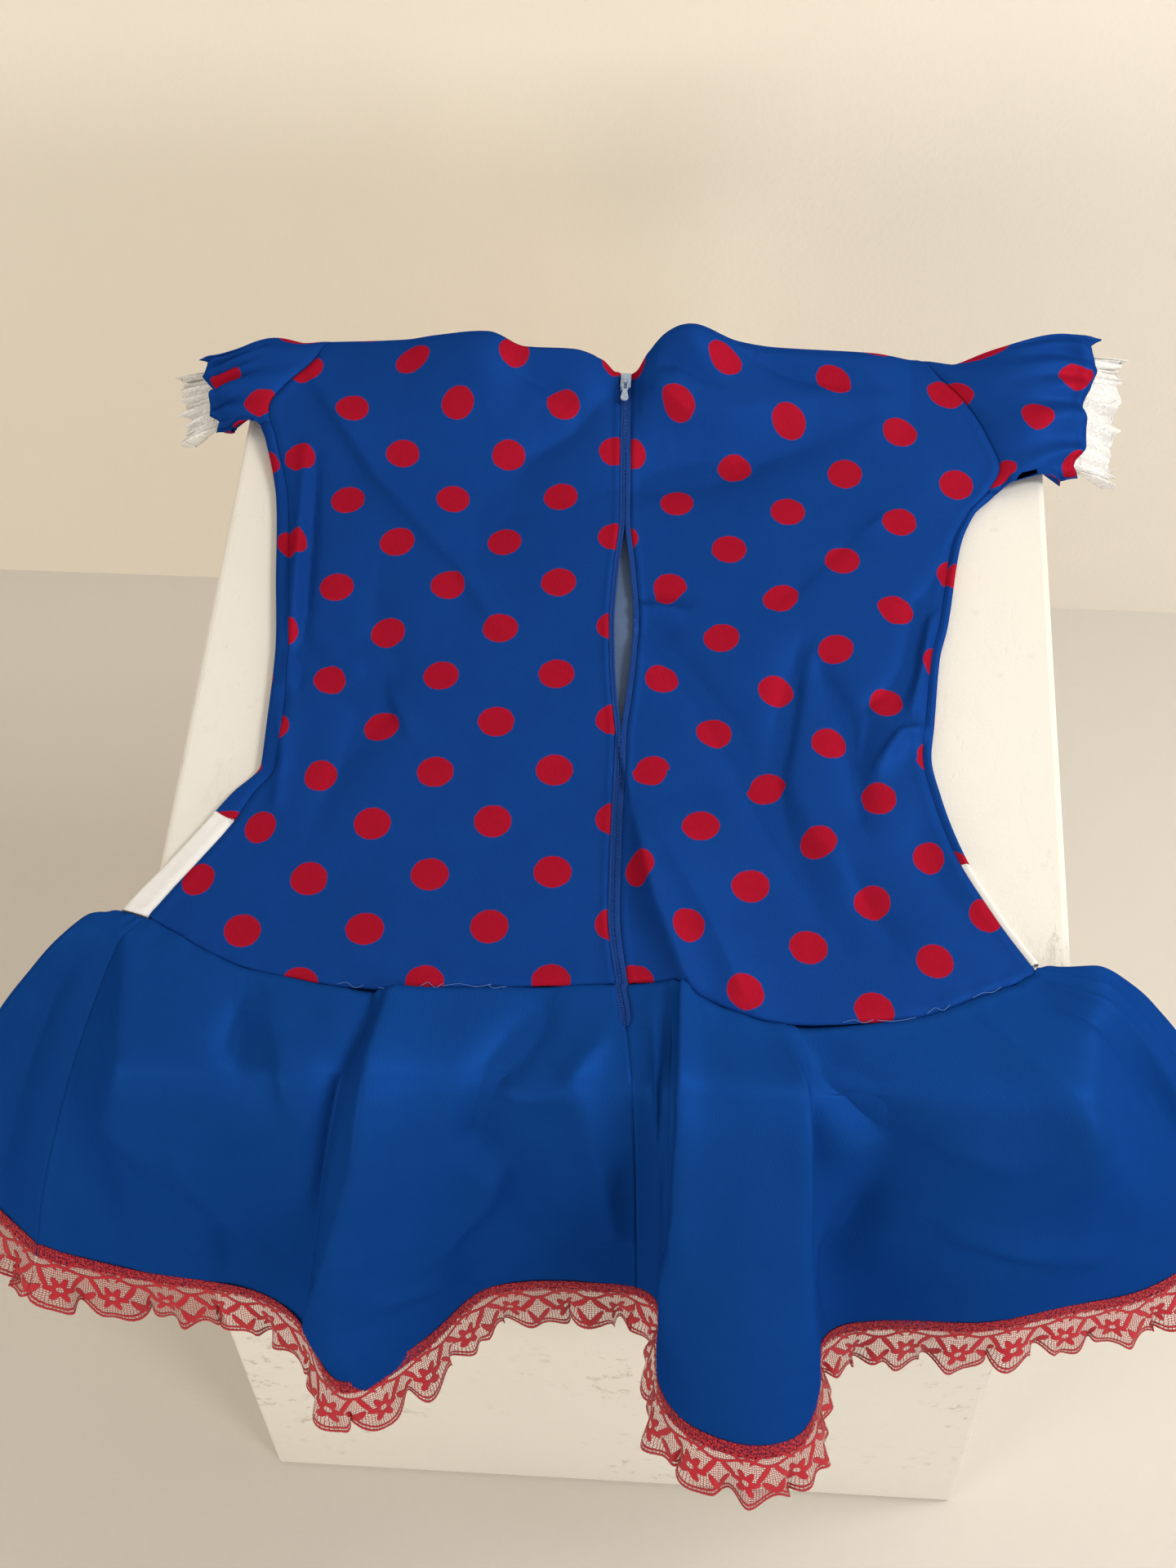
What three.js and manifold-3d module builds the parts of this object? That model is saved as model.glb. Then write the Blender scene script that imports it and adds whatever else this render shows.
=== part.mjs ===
// A rag doll costume dress, laid face down on a square display plinth, skirt over its front edge.
// Millimetres, +Z up. The origin is the centre of the plinth's underside, -Y is the front.
import * as THREE from "three";
import { RoundedBoxGeometry } from "three/addons/geometries/RoundedBoxGeometry.js";
import { mergeVertices } from "three/addons/utils/BufferGeometryUtils.js";
import Module from "manifold-3d";

const wasm = await Module();
wasm.setup();

// Driving sizes
const PLINTH = { side: 500, height: 640, edge: 4 };
const TOP = PLINTH.height;
const HALF = PLINTH.side / 2;
const CLOTH = 1.6; // wall of the sewn panels
const LACE = 1.0; // wall of lace, frills and zip tape
const SEAM = 0.4; // space left along a seam
const SIDE_SEAM = 0.8; // the same where the cloth bends along it
const ARMHOLE_GAP = 1.6; // and round the armholes
const ZIP_HALF = 3.3; // width of one zip tape with its row of teeth
const REST = 1.3; // middle of the lowest cloth above the plinth
const EDGE_TOP = 4.8; // middle of the upper cloth at the rolled side edges
const CENTRE_TOP = 6.8; // the same, away from the edges
const ROLL = { depth: 16, travel: 22, start: 130 }; // how the shoulders roll over behind

// Outline of the bodice and its armholes, with the strip of front panel that shows beside it
const LEFT_SIDE = [
  { y: -168, outline: -267, strip: 16 },
  { y: -150, outline: -256, strip: 15 },
  { y: -130, outline: -243, strip: 14 },
  { y: -103, outline: -227, strip: 13 },
  { y: -84, outline: -216, strip: 10 },
  { y: -63, outline: -202, strip: 7 },
  { y: -34, outline: -203, strip: 7 },
  { y: 13, outline: -205, strip: 6 },
  { y: 75, outline: -213, strip: 6 },
  { y: 139, outline: -222, strip: 5 },
  { y: 185, outline: -235, strip: 2 },
  { y: 199, outline: -240, strip: 1.5 },
  { y: 222, outline: -228, strip: 1.5 },
  { y: 245, outline: -211, strip: 1.5 },
  { y: 272, outline: -201, strip: 1.5 },
];
const RIGHT_SIDE = [
  { y: -178, outline: 236, strip: 3 },
  { y: -145, outline: 215, strip: 3 },
  { y: -104, outline: 194, strip: 3 },
  { y: -66, outline: 182, strip: 3 },
  { y: -39, outline: 177, strip: 3 },
  { y: -16, outline: 179, strip: 3 },
  { y: 32, outline: 183, strip: 3 },
  { y: 56, outline: 188, strip: 3 },
  { y: 119, outline: 197, strip: 3 },
  { y: 145, outline: 206, strip: 1.5 },
  { y: 163, outline: 220, strip: 1.5 },
  { y: 174, outline: 223, strip: 1.5 },
  { y: 200, outline: 215, strip: 1.5 },
  { y: 227, outline: 201, strip: 1.5 },
  { y: 250, outline: 183, strip: 1.5 },
  { y: 272, outline: 168, strip: 1.5 },
];
const UNDERARM = { left: 194, right: 161 };
const HIP_SIDE = { left: -168, right: -178 }; // where the side seams meet the hip seam
const SHOULDER = 271.5; // where back and front meet behind

// Height of the upper cloth where it rolls over behind, and where the two neck edges are cut
const NECK = [
  { x: -205, crest: 16, crestY: 250, back: 271.5, front: 271.5 },
  { x: -154, crest: 22, crestY: 250, back: 271.5, front: 271.5 },
  { x: -134, crest: 28, crestY: 250, back: 271.5, front: 271.5 },
  { x: -102, crest: 34, crestY: 250, back: 261, front: 240 },
  { x: -76, crest: 27, crestY: 250, back: 251, front: 210 },
  { x: -45, crest: 25, crestY: 250, back: 252, front: 194 },
  { x: -27, crest: 20, crestY: 250, back: 249, front: 190 },
  { x: -17, crest: 14.8, crestY: 250, back: 243, front: 189 },
  { x: -7, crest: 14.8, crestY: 250, back: 243, front: 189 },
  { x: 2, crest: 27, crestY: 251, back: 249, front: 192 },
  { x: 14, crest: 38, crestY: 253, back: 257, front: 198 },
  { x: 29, crest: 43, crestY: 254, back: 266, front: 214 },
  { x: 59, crest: 30, crestY: 251, back: 271, front: 250 },
  { x: 82, crest: 26, crestY: 250, back: 271.5, front: 271.5 },
  { x: 143, crest: 23, crestY: 250, back: 271.5, front: 271.5 },
  { x: 168, crest: 16, crestY: 250, back: 271.5, front: 271.5 },
];

// The centre back line, and how far the opened zip stands apart
const ZIP_LINE = [
  { y: -228, x: 20, apart: 0 },
  { y: -196, x: 11, apart: 0 },
  { y: -150, x: 4, apart: 0 },
  { y: -34, x: 1, apart: 0 },
  { y: -10, x: 0, apart: 4.5 },
  { y: 20, x: -1, apart: 9 },
  { y: 50, x: -2, apart: 11 },
  { y: 90, x: -4, apart: 6.5 },
  { y: 129, x: -6, apart: 0 },
  { y: 241, x: -11.5, apart: 0 },
];
const ZIP_TOP = 238;
const ZIP_END = -226;

// Hip seam of the back and of the front, and the line where the white front panel begins
const HIP_BACK = [
  { x: -249, y: -168 },
  { x: -191, y: -197 },
  { x: -123, y: -207 },
  { x: -59, y: -202 },
  { x: 9, y: -197 },
  { x: 37, y: -194 },
  { x: 54, y: -206 },
  { x: 97, y: -217 },
  { x: 161, y: -210 },
  { x: 213, y: -188 },
  { x: 231, y: -178 },
];
const HIP_FRONT = [
  { x: -267, y: -163 },
  { x: -249, y: -168 },
  { x: -200, y: -186 },
  { x: -100, y: -192 },
  { x: 120, y: -192 },
  { x: 200, y: -183 },
  { x: 226, y: -174 },
  { x: 236, y: -170 },
];
const WHITE_TOP = [
  { x: -228, y: -94 },
  { x: -212, y: -102 },
  { x: -150, y: -112 },
  { x: 150, y: -114 },
  { x: 194, y: -110.6 },
];
// Main folds of the bodice's back: a line of three points, its height, and its width on each side
const FOLDS = [
  { name: "hip step", x: [9, 25, 50], y: [-80, -149, -212], height: 6, left: 8, right: 42 },
  { name: "left edge", x: [-209, -199, -188], y: [167, 75, -40], height: 1.2, left: 6, right: 9 },
  { name: "left shoulder", x: [-212, -155, -95], y: [226, 144, 75], height: 2, left: 9, right: 16 },
  { name: "left waist", x: [-199, -174, -140], y: [21, -1, -25], height: -2.2, left: 10, right: 12 },
  { name: "left middle", x: [-155, -145, -170], y: [77, -20, -104], height: -1.6, left: 18, right: 18 },
  { name: "right diagonal", x: [9, 56, 120], y: [43, -29, -160], height: -2.2, left: 10, right: 16 },
  { name: "right bust", x: [-2, 64, 130], y: [156, 178, 202], height: -3.2, left: 24, right: 24 },
  { name: "right middle", x: [100, 94, 86], y: [29, -19, -88], height: -2, left: 12, right: 12 },
  { name: "right waist", x: [113, 128, 137], y: [18, -19, -84], height: -2.4, left: 9, right: 10 },
  { name: "right tuck", x: [178, 156, 146], y: [-20, -24, -50], height: 2.4, left: 9, right: 9 },
];

// Threads of the back flounce: where each leaves the hip seam, where it ends at the hem,
// and how high it passes the plinth's edge
const BACK_THREADS = [
  { seam: -249, x: -330, y: -283, z: 440, lift: 5 },
  { seam: -218, x: -259, y: -285, z: 420, lift: 6 },
  { seam: -190, x: -205, y: -290, z: 418, lift: 7 },
  { seam: -165, x: -178, y: -302, z: 414, lift: 9 },
  { seam: -133, x: -146, y: -342, z: 405, lift: 15 },
  { seam: -100, x: -100, y: -314, z: 412, lift: 11 },
  { seam: -68, x: -65, y: -280, z: 417, lift: 7 },
  { seam: -24, x: -18, y: -272, z: 413, lift: 6 },
  { seam: 10, x: 22, y: -272, z: 412, lift: 7 },
  { seam: 33, x: 37, y: -284, z: 413, lift: 12 },
  { seam: 42, x: 36, y: -330, z: 416, lift: 19 },
  { seam: 50, x: 55, y: -362, z: 418, lift: 22 },
  { seam: 66, x: 90, y: -371, z: 418, lift: 23 },
  { seam: 84, x: 121, y: -360, z: 418, lift: 21 },
  { seam: 94, x: 130, y: -330, z: 414, lift: 16 },
  { seam: 104, x: 129, y: -300, z: 404, lift: 11 },
  { seam: 120, x: 143, y: -285, z: 400, lift: 8 },
  { seam: 150, x: 180, y: -281, z: 402, lift: 7 },
  { seam: 176, x: 221, y: -284, z: 410, lift: 8 },
  { seam: 198, x: 271, y: -274, z: 418, lift: 9 },
  { seam: 216, x: 325, y: -254, z: 402, lift: 9 },
  { seam: 231, x: 386, y: -216, z: 428, lift: 7 },
];
const CENTRE_SEAM = 10; // hip seam place of the centre back seam

// Threads of the front flounce: station along the front's hip seam, the hem, and how far the
// thread keeps off the plinth, from 0 where it lies under the back to 1 beside the back
const FRONT_THREADS = [
  { station: 0.06, x: -332.4, y: -280, z: 438, lift: 5, near: 1 },
  { station: 0.6, x: -374, y: -245, z: 432, lift: 5, near: 1 },
  { station: 1.5, x: -404, y: -205, z: 430, lift: 4, near: 1 },
  { station: 1.95, x: -376, y: -180, z: 430, lift: 3, near: 0.6 },
  { station: 2.03, x: -318, y: -192, z: 428, lift: 2, near: 0.2 },
  { station: 2.08, x: -272, y: -232, z: 426, lift: 2, near: 0 },
  { station: 2.13, x: -252, y: -257, z: 424, lift: 2, near: 0 },
  { station: 2.2, x: -205, y: -257, z: 420, lift: 2, near: 0 },
  { station: 2.5, x: 0, y: -257, z: 414, lift: 2, near: 0 },
  { station: 2.8, x: 205, y: -257, z: 418, lift: 2, near: 0 },
  { station: 2.87, x: 252, y: -257, z: 424, lift: 2, near: 0 },
  { station: 2.92, x: 274, y: -228, z: 426, lift: 2, near: 0 },
  { station: 2.97, x: 316, y: -178, z: 428, lift: 2, near: 0.2 },
  { station: 3.3, x: 364, y: -166, z: 430, lift: 3, near: 0.6 },
  { station: 4.45, x: 388.5, y: -212.5, z: 430, lift: 7, near: 1 },
];

// How far each layer keeps from the plinth, on its top and down at the hem.
// The front layer lies nearer, and joins the back one where its threads say near: 1.
const CLEAR = {
  front: { top: REST + 0.8, hem: 4.6 },
  back: { top: 5.4, hem: 19 },
};

// Sleeves: the two ends of each flattened cuff, its fullness, and how far its frill is drawn in
const SLEEVES = {
  left: {
    low: [-268, 203, TOP - 9],
    high: [-283, 258, TOP + 1],
    half: 8,
    puff: 9,
    inset: 4.5,
    drop: [-0.86, -0.06, -0.5],
  },
  right: {
    low: [268, 184, TOP - 5],
    high: [279, 276, TOP + 15],
    half: 9,
    puff: 10,
    inset: 5.6,
    drop: [0.9, 0.05, -0.42],
  },
};
const CUFF_WAVES = 11;
const CUFF_COLUMNS = 4;
const FRILL = { length: 26, inside: 3, wave: 4.5 };

// Lace: total width, how much of it lies on the flounce, and its gathers
const GALLOON = { width: 50, overlap: 12, pitch: 36, flare: 8, dip: 2.5 };

// Zip slider and its pull tab
const SLIDER = { width: 6.4, plate: 1, gap: 1.1, back: -8, nose: 3.6, tape: 1.4 };
const BRIDGE = { width: 1.4, from: -6.4, to: 0.2, clear: 2, bar: 1 };
const PULL = { arm: 0.9, eye: 5.8, head: 2, waist: 1.3, width: 5, length: 15.5, thick: 1 };

const lerp = (a, b, k) => a + (b - a) * k;
const clamp = (value, low, high) => Math.min(high, Math.max(low, value));
const smooth = (k) => {
  const c = clamp(k, 0, 1);
  return c * c * (3 - 2 * c);
};

// A smooth curve through one column of a table, with no overshoot between its rows
function column(rows, key, name) {
  const sorted = [...rows].sort((a, b) => a[key] - b[key]);
  const keys = sorted.map((row) => row[key]);
  const values = sorted.map((row) => row[name]);
  const slopes = keys.slice(1).map((k, i) => (values[i + 1] - values[i]) / (k - keys[i]));
  const tangents = keys.map((_, i) => {
    const before = slopes[Math.max(i - 1, 0)];
    const after = slopes[Math.min(i, slopes.length - 1)];
    return before * after <= 0 ? 0 : (2 * before * after) / (before + after);
  });
  return (at) => {
    const x = clamp(at, keys[0], keys[keys.length - 1]);
    let i = 0;
    while (i < keys.length - 2 && x > keys[i + 1]) i += 1;
    const span = keys[i + 1] - keys[i];
    const k = (x - keys[i]) / span;
    const k2 = k * k;
    const k3 = k2 * k;
    return (
      (2 * k3 - 3 * k2 + 1) * values[i] +
      (k3 - 2 * k2 + k) * span * tangents[i] +
      (3 * k2 - 2 * k3) * values[i + 1] +
      (k3 - k2) * span * tangents[i + 1]
    );
  };
}

const outlineLeft = column(LEFT_SIDE, "y", "outline");
const outlineRight = column(RIGHT_SIDE, "y", "outline");
const stripLeft = column(LEFT_SIDE, "y", "strip");
const stripRight = column(RIGHT_SIDE, "y", "strip");
const crest = column(NECK, "x", "crest");
const crestY = column(NECK, "x", "crestY");
const neckBack = column(NECK, "x", "back");
const neckFront = column(NECK, "x", "front");
const zipX = column(ZIP_LINE, "y", "x");
const zipApart = column(ZIP_LINE, "y", "apart");
const hipBack = column(HIP_BACK, "x", "y");
const hipFront = column(HIP_FRONT, "x", "y");
const whiteTop = column(WHITE_TOP, "x", "y");

// The height that one fold adds at a place: full along its middle, fading at its ends
function foldHeight(fold, x, y) {
  let best = { distance: Infinity };
  for (let i = 0; i < 2; i += 1) {
    const dx = fold.x[i + 1] - fold.x[i];
    const dy = fold.y[i + 1] - fold.y[i];
    const size = Math.hypot(dx, dy);
    const raw = ((x - fold.x[i]) * dx + (y - fold.y[i]) * dy) / size;
    const along = clamp(raw, 0, size);
    const offX = x - fold.x[i] - (dx * along) / size;
    const offY = y - fold.y[i] - (dy * along) / size;
    const distance = Math.hypot(offX, offY);
    if (distance < best.distance) {
      const side = Math.sign(dx * offY - dy * offX) || 1;
      best = { distance, side, share: (i + along / size) / 2 };
    }
  }
  const width = best.side < 0 ? fold.left : fold.right;
  const fade = Math.sin(Math.PI * clamp(lerp(0.08, 0.92, best.share), 0, 1)) ** 0.5;
  return fold.height * fade * Math.exp(-((best.distance / width) ** 2));
}

// The edge's own height fades out over "edge", the folds fade in over "folds", and a crest
// above "low" starts its rise later, by one power for each "steep" of height
const LOFT = { edge: 50, folds: 14, low: 16, steep: 13 };

// Height of the middle of the upper cloth above the plinth's top
function upper(x, y) {
  const inset = Math.min(x - outlineLeft(y), outlineRight(y) - x);
  const base = lerp(EDGE_TOP, CENTRE_TOP, smooth(inset / LOFT.edge));
  const rise = smooth((y - ROLL.start) / (crestY(x) - ROLL.start));
  const sharper = 1 + Math.max(0, crest(x) - LOFT.low) / LOFT.steep;
  const folds = FOLDS.reduce((sum, fold) => sum + foldHeight(fold, x, y), 0);
  const flat = Math.max(base + folds * smooth(inset / LOFT.folds), REST + CLOTH + SIDE_SEAM);
  return lerp(flat, crest(x), rise ** sharper);
}

// The upper cloth: up to the crest, then rolling down behind it
function upperPoint(x, t) {
  const y0 = crestY(x);
  if (t <= y0) return new THREE.Vector3(x, t, TOP + upper(x, t));
  const angle = ((t - y0) / ROLL.travel) * (Math.PI / 2);
  const middle = (crest(x) + REST) / 2;
  const half = (crest(x) - REST) / 2;
  return new THREE.Vector3(
    x,
    y0 + ROLL.depth * Math.sin(angle),
    TOP + middle + half * Math.cos(angle),
  );
}

const OPENING = 22; // length over which the rolled side opens out into the armhole

const SIDES = {
  left: { outline: outlineLeft, strip: stripLeft, underarm: UNDERARM.left, sign: 1 },
  right: { outline: outlineRight, strip: stripRight, underarm: UNDERARM.right, sign: -1 },
};

// Where the height of the side's roll is read: this far in from the edge, and not above "last"
const ROLL_TOP = { inset: 4, last: 200 };

// The rolled side edge at one height of the bodice; it opens out into the armhole
function sideRoll(side, t) {
  const { outline, strip, underarm, sign } = SIDES[side];
  const shut = 1 - smooth((t - underarm) / OPENING);
  const edge = outline(t);
  const top = upper(edge + sign * ROLL_TOP.inset, Math.min(t, ROLL_TOP.last));
  const radius = (top - REST) / 2;
  const inner = edge + sign * radius * shut;
  return { edge, radius, shut, sign, inner, seam: inner + sign * strip(t) * shut };
}

// The front panel round its section: strip on top, roll, underside, roll, strip on top
function frontPoint(station, t) {
  const left = sideRoll("left", t);
  const right = sideRoll("right", t);
  const onLeft = station < 2.5;
  const roll = onLeft ? left : right;
  const place = onLeft ? station : 5 - station;
  if (place <= 1) {
    const x = lerp(roll.seam, roll.inner, place);
    return new THREE.Vector3(x, t, TOP + upper(x, t));
  }
  if (place < 2) {
    const angle = (place - 1) * Math.PI;
    const x = roll.inner - roll.sign * roll.radius * roll.shut * Math.sin(angle);
    const top = upper(roll.inner, t);
    const z = (top + REST) / 2 + ((top - REST) / 2) * Math.cos(angle);
    return new THREE.Vector3(x, t, TOP + z);
  }
  const x = lerp(left.inner, right.inner, station - 2);
  const y0 = crestY(x);
  if (t <= y0) return new THREE.Vector3(x, t, TOP + REST);
  const angle = ((t - y0) / ROLL.travel) * (Math.PI / 2);
  const half = (crest(x) - REST) / 2;
  return new THREE.Vector3(
    x,
    y0 + ROLL.depth * Math.sin(angle),
    TOP + REST + half * (1 - Math.cos(angle)),
  );
}

const SETTLING = { rounds: 24, step: 0.6 };

// A place on a patch whose sides depend on its height, and whose two ends on where they are
function settle(u, v, sides, ends, xOf) {
  const across = (t) => lerp(...sides(t), u);
  const [low, high] = [0, 1].map((end) => {
    let t = ends(0)[end];
    for (let i = 0; i < SETTLING.rounds; i += 1) {
      t = lerp(t, ends(xOf(across(t), t))[end], SETTLING.step);
    }
    return t;
  });
  const t = lerp(low, high, v);
  return [across(t), t];
}

const halfZip = (t) => zipApart(t) / 2 + SEAM / 2;

function backPanel(side) {
  const sides = {
    left: (t) => [sideRoll("left", t).seam + SIDE_SEAM, zipX(t) - halfZip(t) - ZIP_HALF - SEAM],
    right: (t) => [zipX(t) + halfZip(t) + ZIP_HALF + SEAM, sideRoll("right", t).seam - SIDE_SEAM],
  };
  const ends = (x) => [hipBack(x) + SIDE_SEAM / 2, neckBack(x)];
  return (u, v) => {
    const [x, t] = settle(u, v, sides[side], ends, (across) => across);
    return upperPoint(x, t);
  };
}

function frontPanel(ends) {
  const sides = () => [0, 5];
  return (u, v) => {
    const xOf = (station, t) => frontPoint(station, t).x;
    const [station, t] = settle(u, v, sides, ends, xOf);
    return frontPoint(station, t);
  };
}

// The place on the plinth's core, inside its rounded edges, that is nearest to a point
function coreUnder(point) {
  const reach = HALF - PLINTH.edge;
  return new THREE.Vector3(
    clamp(point.x, -reach, reach),
    clamp(point.y, -reach, reach),
    Math.min(point.z, TOP - PLINTH.edge),
  );
}

// Moves a point straight away from the plinth until it is clear of it
function keepClear(point, distance) {
  const core = coreUnder(point);
  const away = point.clone().sub(core);
  const needed = distance + PLINTH.edge;
  if (away.length() < 1e-6) {
    away.set(0, 0, 1);
    core.z = TOP - PLINTH.edge;
  }
  return away.length() >= needed ? point : core.addScaledVector(away.normalize(), needed);
}

// Adds to each thread its share of the hem's length
function withShare(threads) {
  let run = 0;
  const runs = threads.map((row, i) => {
    const last = threads[Math.max(i - 1, 0)];
    run += Math.hypot(row.x - last.x, row.y - last.y, row.z - last.z);
    return run;
  });
  return threads.map((row, i) => ({ ...row, share: runs[i] / run, hem: run }));
}

const columnsOf = (rows, key, names) =>
  Object.fromEntries(names.map((name) => [name, column(rows, key, name)]));

const HANG = 230; // a flounce's length below the plinth's edge
const KNEE = 0.4; // share of a flounce's rows that lie on the plinth's top
const SHORTEST_KNEE = 14;
const THREAD_STEPS = 72;

// Shape of a thread: how far it stands off the plinth's edge, and the lengths of its curves' arms,
// as shares of its flat stretch and of its fall
const BEND = { off: 0.1, rise: 0.5, leave: 0.4, meet: 0.3, turn: 0.2, end: 0.35, settled: 1.4 };

// How far along a line in plan it leaves the plinth's top
function exitShare(start, hem) {
  const limits = ["x", "y"].map((axis) => {
    const travel = hem[axis] - start[axis];
    return Math.abs(hem[axis]) > HALF ? (Math.sign(travel) * HALF - start[axis]) / travel : 1;
  });
  return clamp(Math.min(...limits), 0, 1);
}

// One thread of a flounce, from the hip seam over the plinth's edge and down to the hem
function threadLine(start, hem, lift, clear) {
  const exit = exitShare(start, hem);
  const plan = hem.clone().sub(start).setZ(0);
  const beyond = plan.length() * (1 - exit);
  plan.normalize();
  const knee = start.clone().lerp(hem, exit);
  knee.addScaledVector(plan, clear.top + BEND.off * beyond);
  knee.z = TOP + Math.max(lift, clear.top + BEND.rise);
  const bend = plan.clone().setZ(-1).normalize();
  const flat = knee.distanceTo(start);
  const fall = knee.distanceTo(hem);
  const hang = hem.clone().sub(knee).normalize().add(new THREE.Vector3(0, 0, -1)).normalize();
  const onTop = new THREE.CubicBezierCurve3(
    start,
    start.clone().addScaledVector(plan, flat * BEND.leave),
    knee.clone().addScaledVector(bend, -Math.min(BEND.meet * flat, clear.top)),
    knee,
  );
  const hanging = new THREE.CubicBezierCurve3(
    knee,
    knee.clone().addScaledVector(bend, fall * BEND.turn),
    hem.clone().addScaledVector(hang, -fall * BEND.end),
    hem,
  );
  const path = [...onTop.getPoints(THREAD_STEPS / 3), ...hanging.getPoints(THREAD_STEPS).slice(1)];
  const points = path.map((point) => {
    const drop = clamp((TOP - point.z) / (TOP - hem.z), 0, 1);
    return keepClear(point, lerp(clear.top, clear.hem, smooth(drop * BEND.settled)));
  });
  const runs = [0];
  let kneeRun = 0;
  for (let i = 1; i < points.length; i += 1) {
    runs.push(runs[i - 1] + points[i].distanceTo(points[i - 1]));
    const away = points[i].clone().sub(coreUnder(points[i]));
    if (away.z > Math.hypot(away.x, away.y)) kneeRun = runs[i];
  }
  return { points, runs, knee: Math.max(kneeRun, SHORTEST_KNEE), length: runs[runs.length - 1] };
}

function pointAlong({ points, runs }, run) {
  let i = 0;
  while (i < points.length - 2 && run > runs[i + 1]) i += 1;
  return points[i].clone().lerp(points[i + 1], (run - runs[i]) / (runs[i + 1] - runs[i]));
}

// A flounce as a surface: u along its seam and hem, v down its threads
function flounce(threads, startOf, clearOf) {
  const at = columnsOf(threads, "share", Object.keys(threads[0]));
  const made = new Map();
  const threadAt = (u) => {
    if (!made.has(u)) {
      const hem = new THREE.Vector3(at.x(u), at.y(u), at.z(u));
      made.set(u, threadLine(startOf(at, u), hem, at.lift(u), clearOf(at, u)));
    }
    return made.get(u);
  };
  const surface = (u, v) => {
    const line = threadAt(u);
    const run =
      v < KNEE
        ? line.knee * (v / KNEE)
        : lerp(line.knee, line.length, (v - KNEE) / (1 - KNEE));
    return pointAlong(line, run);
  };
  return { surface, threadAt };
}

const backThreads = withShare(BACK_THREADS);
const frontThreads = withShare(FRONT_THREADS);
const flounceBack = flounce(
  backThreads,
  (at, u) => upperPoint(at.seam(u), hipBack(at.seam(u)) - SIDE_SEAM / 2),
  () => CLEAR.back,
);
const flounceFront = flounce(
  frontThreads,
  (at, u) => {
    const station = at.station(u);
    const t = hipFront(frontPoint(station, hipFront(-HALF)).x) - SIDE_SEAM * 1.25;
    return frontPoint(station, t);
  },
  (at, u) => ({
    top: lerp(CLEAR.front.top, CLEAR.back.top, at.near(u)),
    hem: lerp(CLEAR.front.hem, CLEAR.back.hem, at.near(u)),
  }),
);

const centreShare = column(backThreads, "seam", "share")(CENTRE_SEAM);
const hemLength = { back: backThreads[0].hem, front: frontThreads[0].hem };
const centreHip = hipBack(CENTRE_SEAM);
const slitEnd = (KNEE * (centreHip - ZIP_END)) / flounceBack.threadAt(centreShare).knee;

const SLIT_CLOSES = 0.06; // share of the length over which the slit below the zip closes

// Each half of the back flounce stops beside the zip, and below it at the centre seam
function flounceHalf(side) {
  return (u, v) => {
    const shut = smooth((v - slitEnd) / SLIT_CLOSES);
    const beside = lerp(ZIP_HALF + SEAM * 1.5, SEAM, shut) / hemLength.back;
    const share =
      side === "left"
        ? lerp(0, centreShare - beside, u)
        : lerp(centreShare + beside, 1, u);
    return flounceBack.surface(share, v);
  };
}

// One zip tape, down the centre back and on over the top of the flounce
function zipTape(sign) {
  return (u, v) => {
    const t = lerp(ZIP_END, ZIP_TOP, v);
    const beside = SEAM / 2 + u * (ZIP_HALF - SEAM / 2);
    if (t > centreHip) return upperPoint(zipX(t) + sign * (beside + zipApart(t) / 2), t);
    const share = centreShare + (sign * beside) / hemLength.back;
    return flounceBack.surface(share, (slitEnd * (centreHip - t)) / (centreHip - ZIP_END));
  };
}

// The surface's outward direction at a place, from points a little way off
function outwardAt(surface, u, v, outward) {
  const step = 0.004;
  const du = surface(Math.min(u + step, 1), v).sub(surface(Math.max(u - step, 0), v));
  const dv = surface(u, Math.min(v + step, 1)).sub(surface(u, Math.max(v - step, 0)));
  return du.cross(dv).normalize().multiplyScalar(outward);
}

const LAP_SHARE = (GALLOON.overlap / HANG) * (1 - KNEE);

// Lace sewn over a hem: flat on the cloth at its header, gathered into waves beyond it
function galloon(whole, turns, outward, clear) {
  const hemRow = FLOUNCE_ROWS[FLOUNCE_ROWS.length - 2];
  const base = (u, v) => whole(u, hemRow).lerp(whole(u, 1), (v - hemRow) / (1 - hemRow));
  const lap = GALLOON.overlap / GALLOON.width;
  const stand = CLOTH / 2 + LACE / 2 + SIDE_SEAM;
  return (u, q) => {
    const v = 1 - LAP_SHARE * Math.max(0, 1 - q / lap);
    const on = base(u, v);
    const normal = outwardAt(base, u, v, outward);
    const beyond = Math.max(0, (q - lap) / (1 - lap));
    const down = base(u, 1).sub(base(u, 0.97)).normalize();
    on.addScaledVector(down, beyond * (GALLOON.width - GALLOON.overlap));
    const phase = 2 * Math.PI * turns(u);
    const flare = GALLOON.flare * smooth(0.15 + 0.85 * beyond) * (q > lap / 2 ? 1 : 0);
    on.addScaledVector(normal, stand + flare * (0.55 + 0.45 * Math.sin(phase)));
    on.addScaledVector(down, -GALLOON.dip * beyond * Math.cos(phase));
    return keepClear(on, clear);
  };
}

// The armhole's edge, round from the underarm over the back to the shoulder and back below
function armhole(side, turn) {
  const round = (1 - Math.cos(2 * Math.PI * turn)) / 2;
  const t = lerp(UNDERARM[side] + ARMHOLE_GAP + CLOTH, SHOULDER, round);
  if (turn <= 0.5) return upperPoint(sideRoll(side, t).seam, t);
  return frontPoint(side === "left" ? 2 : 3, t);
}

function cuffFrame(side) {
  const cuff = SLEEVES[side];
  const low = new THREE.Vector3(...cuff.low);
  const high = new THREE.Vector3(...cuff.high);
  const along = new THREE.Vector3(...cuff.drop).normalize();
  const up = high.clone().sub(low).cross(along).normalize();
  if (up.z < 0) up.negate();
  return { ...cuff, low, high, along, up };
}

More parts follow.
